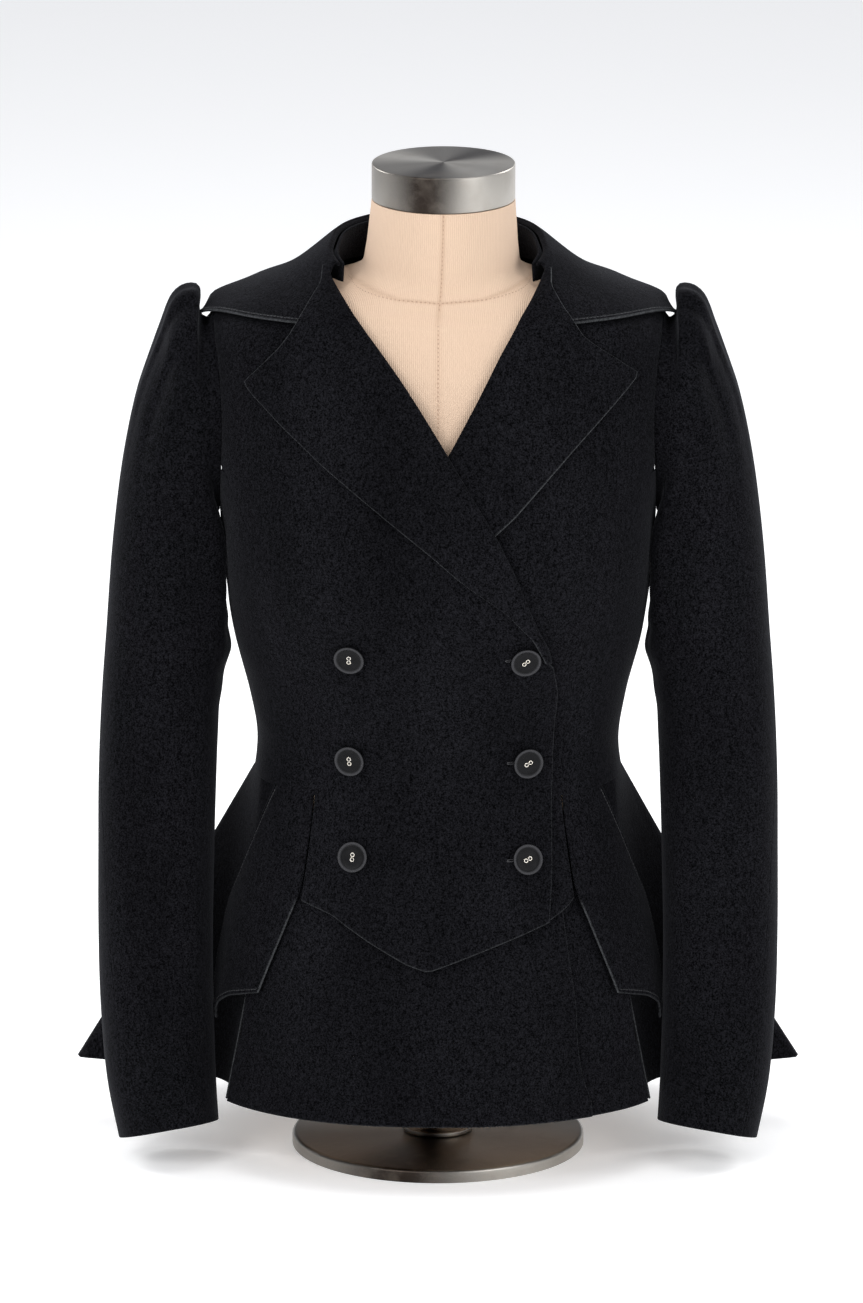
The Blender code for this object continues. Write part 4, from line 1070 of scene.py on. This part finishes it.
def brushed(name, round_it):
    """Brushed steel with painted reflections. On a turned top the brushing runs out from the
    middle.
    """
    g = Graph(name)
    x, y, z = g.axes(g.place())
    x = x - (NECK_LEAN * MM if round_it else 0.0)
    turn = g.math("ARCTAN2", y, x)
    radius = g.math("SQRT", x * x + y * y)
    grain = g.add("ShaderNodeCombineXYZ", None, {0: turn * 60, 1: radius * 22, 2: z * 3000})
    lines = g.noise(grain.outputs[0], 3.0, 4, 0.7)
    flat = g.add("ShaderNodeCombineXYZ", None, {0: turn * 3, 1: radius * 900, 2: z * 900})
    rings = g.noise(flat.outputs[0], 1.0, 3, 0.6)
    # Painted reflections: lighter and darker bands round the axis, with the brushing's lines, set
    # the colour.
    sectors = g.math("COSINE", turn * 2 + 0.9) * 0.5 + 0.5
    narrow = g.math("COSINE", turn * 5 - 0.6) * 0.5 + 0.5
    glow = g.spread(sectors * 0.6 + narrow * 0.25 + lines * 0.4, 0.25, 1.05)
    colour = g.mix(glow, COLOURS["steel_dark_reflection"], COLOURS["steel"])
    spots = g.noise(g.place(), 60, 4)
    colour = g.mix(g.spread(spots, 0.5, 0.8) * 0.3, colour, COLOURS["steel_spots"])
    return g.set(Base_Color=colour, Metallic=1.0, Roughness=0.22 + lines * 0.22 + spots * 0.08,
                 Normal=g.bump(rings * 0.5 + lines * 0.5, 0.00012, 0.6))


def horn():
    """Black moulded button, satin, with faint swirls and a highlight painted round its rim."""
    g = Graph("horn_black")
    swirl = g.noise(g.place((1, 1, 2)), 120, 4, 0.6)
    highlight_noise = g.noise(g.place(), 900, 2)
    rim = g.attribute("rim")
    colour = g.mix(g.spread(swirl, 0.3, 0.7), COLOURS["horn_dark"], COLOURS["horn"])
    # Painted highlight: a pale ring round the top of the rim, broken by fine noise.
    colour = g.mix(rim * (0.5 + highlight_noise * 0.5), colour, COLOURS["horn_painted_highlight"])
    return g.set(Base_Color=colour, Roughness=0.38 + swirl * 0.12 + rim * 0.15,
                 Normal=g.bump(swirl, 0.0002, 0.3), Specular_IOR_Level=0.12)


def eyelet_metal():
    g = Graph("eyelet_metal")
    wear = g.noise(g.place(), 1200, 3)
    colour = g.mix(g.spread(wear, 0.3, 0.7), COLOURS["eyelet_dark"], COLOURS["eyelet"])
    return g.set(Base_Color=colour, Metallic=1.0, Roughness=0.2 + wear * 0.2,
                 Normal=g.bump(wear, 0.0001, 0.4))


def thread(name, dark, light):
    g = Graph(name)
    twist = g.noise(g.place(), 2600, 2)
    return g.set(Base_Color=g.mix(twist, dark, light), Roughness=0.6 + twist * 0.2,
                 Normal=g.bump(twist, 0.0001, 0.5), Sheen_Weight=0.2)


def studio_floor():
    g = Graph("studio_floor")
    mottle = g.noise(g.place(), 3, 3)
    pale = g.mix(mottle, COLOURS["floor_dark"], COLOURS["floor"])
    return g.set(Base_Color=pale, Roughness=0.9, Emission_Color=(1.0, 1.0, 1.0),
                 Emission_Strength=FLOOR_GLOW)


FLOOR_GLOW = 0.3  # the far floor stays as pale as the near one
JERSEY = {"rib": 1.5, "course": 0.9}
MATERIALS = {
    "velvet": velvet(),
    "jersey": jersey(),
    "cap": brushed("cap_steel", True),
    "stand": brushed("stand_steel", False),
    "horn": horn(),
    "eyelet": eyelet_metal(),
    "black_thread": thread("black_thread", COLOURS["thread_dark"], COLOURS["thread"]),
    "pink_thread": thread("form_thread", COLOURS["pink_dark"], COLOURS["pink"]),
    "floor": studio_floor(),
}


# Stitches along paths
def socket_id(tree, name):
    return next(s.identifier for s in tree.interface.items_tree if s.name == name)


def stitch_tree():
    """Nodes that lay small stitches end to end along the edges of a wire mesh."""
    tree = bpy.data.node_groups.new("row_of_stitches", "GeometryNodeTree")
    face = tree.interface
    face.new_socket("Path", in_out="INPUT", socket_type="NodeSocketGeometry")
    for name in ("Pitch", "Stitch length", "Thread radius"):
        face.new_socket(name, in_out="INPUT", socket_type="NodeSocketFloat")
    face.new_socket("Finish", in_out="INPUT", socket_type="NodeSocketMaterial")
    face.new_socket("Stitches", in_out="OUTPUT", socket_type="NodeSocketGeometry")

    def add(kind, settings=None, **sockets):
        return add_node(tree, kind, settings, {k.replace("_", " "): v for k, v in sockets.items()})

    given = add("NodeGroupInput").outputs
    line = add("GeometryNodeMeshToCurve", Mesh=given["Path"])
    evenly = add("GeometryNodeResampleCurve", {"mode": "LENGTH"}, Curve=line.outputs[0],
                 Length=given["Pitch"])
    ball = add("GeometryNodeMeshUVSphere", Segments=6, Rings=5, Radius=1.0)
    half = add_node(tree, "ShaderNodeMath", {"operation": "MULTIPLY"},
                    {0: given["Stitch length"], 1: 0.5})
    size = add("ShaderNodeCombineXYZ", X=given["Thread radius"], Y=given["Thread radius"],
               Z=half.outputs[0])
    stitch = add("GeometryNodeTransform", Geometry=ball.outputs[0], Scale=size.outputs[0])
    along = add("GeometryNodeInputTangent")
    turned_to = add("FunctionNodeAlignRotationToVector", {"axis": "Z"}, Vector=along.outputs[0])
    laid = add("GeometryNodeInstanceOnPoints", Points=evenly.outputs[0],
               Instance=stitch.outputs[0], Rotation=turned_to.outputs[0])
    real = add("GeometryNodeRealizeInstances", Geometry=laid.outputs[0])
    finished = add("GeometryNodeSetMaterial", Geometry=real.outputs[0], Material=given["Finish"])
    result = tree.nodes.new("NodeGroupOutput")
    tree.links.new(finished.outputs[0], result.inputs["Stitches"])
    return tree


STITCHES = stitch_tree()


STITCH_SIZES = {
    "edge": {"Pitch": 2.9, "Stitch length": 2.5, "Thread radius": 0.22},
    "button": {"Pitch": 0.8, "Stitch length": 1.4, "Thread radius": 0.3},
    "hole": {"Pitch": 0.55, "Stitch length": 1.9, "Thread radius": 0.28},
    "form": {"Pitch": 3.2, "Stitch length": 1.5, "Thread radius": 0.28},
}


def stitched(name, paths, finish, kind):
    """One mesh of all the stitches of a kind along some paths of points."""
    edges, first = [], 0
    for path in paths:
        edges += [(first + k, first + k + 1) for k in range(len(path) - 1)]
        first += len(path)
    wire = bpy.data.meshes.new(name + "_path")
    wire.from_pydata(placed(np.concatenate(paths)), edges, [])
    holder = linked(name + "_path", wire)
    nodes = holder.modifiers.new("stitches", "NODES")
    nodes.node_group = STITCHES
    for socket, size in STITCH_SIZES[kind].items():
        nodes[socket_id(STITCHES, socket)] = size * MM
    nodes[socket_id(STITCHES, "Finish")] = MATERIALS[finish]
    ready = holder.evaluated_get(bpy.context.evaluated_depsgraph_get())
    mesh = bpy.data.meshes.new_from_object(ready)
    bpy.data.objects.remove(holder, do_unlink=True)
    mesh.name = name
    mesh.shade_smooth()
    return linked(name, mesh)


# Turned and cast pieces
def circle(axis, count):
    """An axis, and the directions at even turns round it."""
    axis = unit(np.asarray(axis, float))
    side = unit(np.cross(axis, (0, 0, 1) if abs(axis[2]) < 0.9 else (1, 0, 0)))
    turn = np.linspace(0, 2 * np.pi, count, endpoint=False)[:, None]
    return axis, np.cos(turn) * side + np.sin(turn) * np.cross(axis, side)


def capped(rings, low_centre, high_centre):
    """Points and faces of closed rings of points, with a fan of faces at both ends."""
    count, cols = rings.shape[:2]
    verts = np.concatenate([rings.reshape(-1, 3), [low_centre], [high_centre]])
    faces = quads(count, cols, True).tolist()
    low, high, last = len(verts) - 2, len(verts) - 1, (count - 1) * cols
    for k in range(cols):
        after = (k + 1) % cols
        faces += [(after, k, low), (last + k, last + after, high)]
    return verts, faces


def turned(name, profile, centre, axis, material, segments=64):
    """A turned piece from a profile of radius and height, closed at both ends."""
    axis, ray = circle(axis, segments)
    centre = np.asarray(centre, float)
    rings = np.array([centre + axis * rise + ray * radius for radius, rise in profile])
    ends = [centre + axis * profile[k][1] for k in (0, -1)]
    piece = new_piece(name, *capped(rings, *ends), material)
    piece.data.set_sharp_from_angle(angle=math.radians(50))
    return piece


def corner(radius, rise, size, first, parts=5):
    """Points of a quarter-round corner of a profile, from an angle in degrees on."""
    turns = np.radians(np.linspace(first, first + 90, parts))
    return [(radius + size * math.cos(t), rise + size * math.sin(t)) for t in turns]


def torus(centre, axis, radius, thick, segments=20, sides=8):
    """Points and faces of one small ring of wire."""
    axis, ray = circle(axis, segments)
    over = np.linspace(0, 2 * np.pi, sides, endpoint=False)
    reach = radius + thick * np.cos(over)
    verts = (centre + ray[:, None] * reach[None, :, None]
             + axis * (thick * np.sin(over))[None, :, None]).reshape(-1, 3)
    faces = []
    for k in range(segments):
        for j in range(sides):
            a, b = k * sides + j, ((k + 1) % segments) * sides + j
            up = (j + 1) % sides - j
            faces.append((a, b, b + up, a + up))
    return verts, faces


EYELET = {"radius": 1.35, "wire": 0.42, "apart": 3.5, "above": 0.3}
THREAD_BAR = {"past": 1.1, "above": 0.35, "sag": 0.25}


def button_seat(x, h, gap):
    angle = angle_at(x, h)
    out = float(front_out(-1, np.array(x), np.array(h)))
    seat = torso_out(angle, h, out)
    normal = unit(torso_out(angle, h, out + 1) - seat)
    return seat + normal * gap, normal


def button(name, x, h, gap):
    """A round button with a dished face, a raised rim and a shank."""
    seat, normal = button_seat(x, h, gap)
    radius, thick, edge = (BUTTON[c] for c in ("radius", "thick", "edge"))
    under = BUTTON["rise"] + 0.5
    profile = [(BUTTON["shank"], 0.0), (BUTTON["shank"], BUTTON["rise"]), (radius - 1.2, under)]
    profile += corner(radius - edge, under + edge, edge, -90)
    profile += corner(radius - edge, thick - edge, edge, 0)
    profile += list(zip(*BUTTON_FACE.values()))
    piece = turned(name, profile, seat, normal, "horn", BUTTON_SIDES)
    # A highlight is painted round the top of the rim through the rim attribute.
    glow = np.zeros((len(profile), BUTTON_SIDES))
    glow[list(BUTTON_GLOW["ring"])] = np.array(BUTTON_GLOW["bright"])[:, None]
    keep_values(piece, "rim", np.concatenate([glow.ravel(), (0, 0)]))
    return piece


def button_eyelets(name, x, h, gap, eyelet_turn):
    """Two small metal rings in a button's face, and the thread between them."""
    seat, normal = button_seat(x, h, gap)
    face = seat + normal * (BUTTON["thick"] - BUTTON["dish"] + EYELET["above"])
    up = unit(np.array((0, 0, 1.0)) - normal * normal[2])
    turn = math.radians(eyelet_turn)
    way = up * math.cos(turn) + np.cross(up, normal) * math.sin(turn)
    verts, faces = [], []
    for side in (-0.5, 0.5):
        points, loops = torus(face + way * EYELET["apart"] * side, normal,
                              EYELET["radius"], EYELET["wire"])
        faces += [tuple(i + len(verts) for i in loop) for loop in loops]
        verts += list(points)
    piece = new_piece(name, verts, faces, "eyelet")
    at = np.linspace(-THREAD_BAR["past"], THREAD_BAR["past"], 7)[:, None]
    bar = face + way * EYELET["apart"] * 0.5 * at
    return piece, bar + normal * (THREAD_BAR["above"] - THREAD_BAR["sag"] * at**2)


# Dress form
def form_ring(angles, half_width, front, back, h, power=2.25, lean=0.0):
    turn = np.radians(angles)
    radius = oval(angles, half_width, front, back, power)
    return np.stack([radius * np.sin(turn) + lean, -radius * np.cos(turn), 0 * turn + h], -1)


FORM_COLUMNS = ("half_width", "front", "back", "h")
NECK_COLUMNS = FORM_COLUMNS + ("power", "lean")
FORM_AIR = 0.3
NECK_SEAM = {"x": (0, 30, 60), "h": (612.0, 614.0, 621.0)}
NECK_SEAM_X = {"angle": (0, 30, 82), "x": (0, 30, 66)}
NECK_FRONT_H = (608, 676)
CHEST_FRONT_H = (470, 600)


def neck_seam_h(x):
    return np.interp(np.abs(x), NECK_SEAM["x"], NECK_SEAM["h"])


def form_grid():
    angles = np.arange(-180, 180, 3.0)
    rings = []
    for k in range(len(FORM_HIPS["h"])):
        rings.append(form_ring(angles, *(FORM_HIPS[c][k] for c in FORM_COLUMNS)))
    for h in FORM_ROWS:
        near_side = bell(np.abs(angles) - SEAT["angle"], SEAT["spread"])
        seated = near_side * ease(h, SEAT["low_h"], SEAT["high_h"])
        seated = np.where(np.abs(angles) >= SIDE, SEAT["back_share"] * seated, seated)
        inset = FORM_INSET + (SEAT_INSET - FORM_INSET) * seated + FORM_AIR
        rings.append(torso_out(angles, h, -inset))
    for k in range(len(NECK["h"])):
        rings.append(form_ring(angles, *(NECK[c][k] for c in NECK_COLUMNS)))
    return smooth_rows(np.stack(rings), 6)


def dress_form(name):
    """The form's trunk and neck in ribbed jersey, closed above and below."""
    grid = form_grid()
    rows, cols = grid.shape[:2]
    verts, faces = capped(grid, grid[0].mean(axis=0), grid[-1].mean(axis=0))
    piece = new_piece(name, verts, faces, "jersey")
    piece.data.set_sharp_from_angle(angle=math.radians(60))
    around = steps(np.concatenate([grid, grid[:, :1]], axis=1), 1)
    u = np.concatenate([np.zeros((rows, 1)), np.cumsum(around, axis=1)], axis=1)
    u = u - u[:, cols // 2:cols // 2 + 1]
    uv = piece.data.uv_layers.new(name="cloth")
    for polygon in piece.data.polygons:
        row_cols = [(v // cols, v % cols) for v in polygon.vertices]
        wraps = {c for _, c in row_cols} == {0, cols - 1}
        for loop, vertex, (r, c) in zip(polygon.loop_indices, polygon.vertices, row_cols):
            r = min(r, rows - 1)
            c = cols if wraps and c == 0 else c
            uv.data[loop].uv = (u[r, c], verts[vertex][2])
    x, y, h = (grid[..., k].ravel() for k in range(3))
    middle = np.interp(h, NECK["h"], NECK["lean"])
    seam = bell(x - middle, 0.9) * (y < 0)
    ring = bell(h - neck_seam_h(x - 2), 1.1) * (np.abs(x) < 75)
    keep_values(piece, "seam", np.concatenate([np.maximum(seam, ring), (0, 0)]))
    return piece


def form_surface(angle, h):
    """Points a little above the neck's surface."""
    sizes_at = {c: smooth_at(NECK, "h", c, h) for c in NECK_COLUMNS if c != "h"}
    points = form_ring(angle, h=h, **sizes_at)
    points[:, :2] += unit(points[:, :2]) * 0.15
    return points


def form_seams():
    """Lines of stitches down the form's front and round the foot of its neck."""
    h = np.linspace(*NECK_FRONT_H, 60)
    rows = np.linspace(*CHEST_FRONT_H, 60)
    chest = torso_out(0 * rows, rows, -FORM_INSET - 0.1)
    angles = np.linspace(-82, 82, 120)
    ring_h = neck_seam_h(straight_at(NECK_SEAM_X, "angle", "x", np.abs(angles)))
    return [chest, form_surface(0 * h, h), form_surface(angles, ring_h)]


def cap(name):
    radius, low, high = CAP["radius"], CAP["low"], CAP["high"]
    low_edge, edge = CAP["low_edge"], CAP["edge"]
    profile = [(radius - 3, low)] + corner(radius - low_edge, low + low_edge, low_edge, -90)
    profile += corner(radius - edge, high - edge, edge, 0, 7)
    profile += [(at, high + rise) for at, rise in zip(*CAP_TOP.values())]
    return turned(name, profile, (NECK_LEAN, 0, 0), (0, 0, 1), "cap", 128)


def post(name):
    low = BASE["thick"] - HEM_Z + PART_GAP
    high = FORM_FOOT_H - PART_GAP
    edge = FLANGE["edge"]
    inner = POST_RADIUS + FLANGE["out"] - edge
    profile = [(inner, low)] + corner(inner, low + edge, edge, -90)
    profile += corner(inner, low + FLANGE["side"], edge, 0)
    profile += [(POST_RADIUS + 1.5, low + FLANGE["high"])]
    profile += [(POST_RADIUS, low + FLANGE["neck"]), (POST_RADIUS, high)]
    return turned(name, profile, (0, 0, 0), (0, 0, 1), "stand")


def base(name):
    radius, floor = BASE["radius"], -HEM_Z
    top, low_edge, edge = floor + BASE["thick"], BASE["low_edge"], BASE["edge"]
    profile = [(radius - 1, floor)] + corner(radius - low_edge, floor + low_edge, low_edge, -90)
    profile += corner(radius - edge, top - edge, edge, 0, 9)
    profile += [(radius * 0.6, top), (POST_RADIUS, top)]
    return turned(name, profile, (0, 0, 0), (0, 0, 1), "stand", 160)


# Putting the object together
def ride(piece, node=None):
    """Puts a piece on the one body, in place of its node if it has one."""
    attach(piece, "root")
    if node:
        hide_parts(node)


def cloth(node, grid, away, held, **edges):
    """A velvet piece in place of its node; the cut of what shows is worked out and not kept."""
    piece, (width, length, area) = shell("velvet_" + node, grid, away, **edges)
    ride(piece, node)
    width, length = round(width, 3), round(length, 3)
    round(min(area, MOST_OF_CUT * width * length), 5)


def build_jacket():
    cloth("front_over", front_grid(-1), MIDDLE, "hung", free="rb", rims={"r": 0.5, "b": 0.7})
    cloth("front_under", front_grid(1), MIDDLE, "hung", free="rb", rims={"r": 0.3, "b": 0.7})
    for side, word in ((-1, "right"), (1, "left")):
        cloth(f"side_front_{word}", side_front_grid(side), MIDDLE, "hung", flush="b")
        cloth(f"side_back_{word}", side_back_grid(side), MIDDLE, "hung")
        cloth(f"back_{word}", back_grid(side), MIDDLE, "hung")
        cloth(f"collar_{word}", collar_grid(side), (0, 0, 0), "folded", free="lr",
              stitched="r", rims={"l": 0.0}, thick=COLLAR_CLOTH)
        cloth(f"hip_flap_{word}", hip_flap_grid(side), MIDDLE, "hung", free="lrt",
              stitched="rt", flush="b", rims={"l": (150, 168), "r": 0.5, "t": 0.5})
        flare = peplum_grid(side, PEPLUM["angle"][0], PEPLUM_SPLIT, COLUMNS["peplum_side"])
        cloth(f"peplum_side_{word}", flare, MIDDLE, "hung", free="lt", rims={"t": 0.5})
        flare = peplum_grid(side, PEPLUM_SPLIT, BACK, COLUMNS["peplum_back"])
        cloth(f"peplum_back_{word}", flare, MIDDLE, "hung", free="t", rims={"t": 0.5})
        for part in ("upper", "under"):
            name = f"sleeve_{part}_{word}"
            held = "gathered" if part == "upper" else "hung"
            inside = np.array(SLEEVE_MIDDLE) * (side, 1, 1)
            cloth(name, sleeve_grid(side, part), inside, held, free="t",
                  step=SLEEVE_STEP, rims={"t": 0.35})
    cloth("collar_stand", collar_stand_grid(), STAND_MIDDLE, "folded")
    cloth("lapel_over", lapel_grid(-1, LAPEL_OVER), MIDDLE, "folded", free="lrbt",
          rims={"l": 0.15, "r": 0.9, "t": 0.3, "b": 0.5})
    cloth("lapel_under", lapel_grid(1, LAPEL_UNDER), MIDDLE, "folded", free="lrbt",
          rims={"l": 0.15, "r": 1.3, "t": 0.3, "b": 0.5})
    cloth("skirt_front_over", skirt_over_grid(), MIDDLE, "hung", free="rb",
          rims={"r": 0.35, "b": 0.4})
    cloth("skirt_front_under", skirt_under_grid(), MIDDLE, "hung", free="b", rims={"b": 0.4})
    ride(stitched("edge_stitches", STITCH_PATHS, "black_thread", "edge"))


def build_buttons():
    bars, holes = [], []
    for name, x, h, gap, eyelet_turn in zip(*BUTTONS.values()):
        ride(button(f"button_horn_{name}", x, h, gap), f"button_{name}")
        rings, bar = button_eyelets(f"button_eyelets_{name}", x, h, gap, eyelet_turn)
        ride(rings)
        bars.append(bar)
        if x > 0:
            holes.append(buttonhole(x, h))
    ride(stitched("button_threads", bars, "black_thread", "button"))
    ride(stitched("buttonholes", holes, "black_thread", "hole"))


HOLE = {"out": 14.0, "in": 9.0, "half_width": 0.9, "square": 0.4, "above": 0.12}


def buttonhole(x, h):
    """A closed loop of points round a level buttonhole, for its worked edge."""
    turn = np.linspace(0, 2 * np.pi, 70)
    length = (HOLE["out"] + HOLE["in"]) / 2
    middle = x + (HOLE["in"] - HOLE["out"]) / 2
    loop_x = middle + length * np.cos(turn)
    up = np.sign(np.sin(turn)) * np.abs(np.sin(turn)) ** HOLE["square"]
    loop_h = h + HOLE["half_width"] * up
    angle = angle_at(loop_x, loop_h)
    out = front_out(-1, loop_x, loop_h) + body_creases(angle, loop_h) + HOLE["above"]
    return torso_out(angle, loop_h, out)


def build_form():
    ride(dress_form("form_body"), "form_torso")
    ride(cap("form_cap"), "neck_cap")
    ride(post("form_post"), "stand_post")
    ride(base("form_base"), "stand_base")
    ride(stitched("form_stitches", form_seams(), "pink_thread", "form"))


# Studio
FLOOR_SIDE = 30.0
LIGHTS = {
    "name": ("key", "fill", "over", "left_back", "right_back"),
    "x": (-1.7, 2.0, 0.0, -2.0, 2.0),
    "y": (-2.6, -2.2, -0.3, 1.3, 1.3),
    "z": (2.2, 1.5, 3.2, 1.6, 1.6),
    "size": (1.6, 2.0, 2.0, 1.2, 1.2),
    "power": (50, 30, 27, 32, 32),
}
LIGHTS_AIM = (0, 0, 0.4)
SKY = {"colour": (0.93, 0.95, 1.0, 1), "strength": 0.47}
VIEW = {"aim": (-0.0049, 0.0, 0.3833), "away": 12.0, "rise": 15.0, "height": 0.977,
        "sensor": 36.0, "reach": 2000.0}


def aimed(name, data, place, aim):
    """A lamp or camera at a place, looking at a point."""
    obj = linked(name, data)
    obj.location = place
    obj.rotation_euler = (Vector(aim) - Vector(place)).to_track_quat("-Z", "Y").to_euler()
    return obj


def build_studio():
    floor = bpy.data.meshes.new("studio_floor")
    corners = [(x * FLOOR_SIDE, y * FLOOR_SIDE, 0) for x, y in ((-1, -1), (1, -1), (1, 1), (-1, 1))]
    floor.from_pydata(corners, [], [(0, 1, 2, 3)])
    floor.materials.append(MATERIALS["floor"])
    linked("studio_floor", floor)
    for name, x, y, z, size, power in zip(*LIGHTS.values()):
        lamp = bpy.data.lights.new(name, "AREA")
        lamp.shape, lamp.size, lamp.energy = "DISK", size, power
        aimed(name, lamp, (x, y, z), LIGHTS_AIM)
    scene = bpy.context.scene
    scene.world = bpy.data.worlds.new("studio")
    scene.world.use_nodes = True
    sky = scene.world.node_tree.nodes["Background"]
    sky.inputs["Color"].default_value = SKY["colour"]
    sky.inputs["Strength"].default_value = SKY["strength"]
    scene.view_settings.view_transform = "Standard"
    lens = bpy.data.cameras.new("photo_view")
    lens.sensor_width = VIEW["sensor"]
    lens.lens = VIEW["sensor"] * VIEW["away"] / VIEW["height"]
    lens.clip_end = VIEW["reach"]
    tilt = math.radians(VIEW["rise"])
    back = Vector((0, -math.cos(tilt), math.sin(tilt))) * VIEW["away"]
    scene.camera = aimed("photo_view", lens, Vector(VIEW["aim"]) + back, VIEW["aim"])


build_studio()
build_jacket()
build_buttons()
build_form()
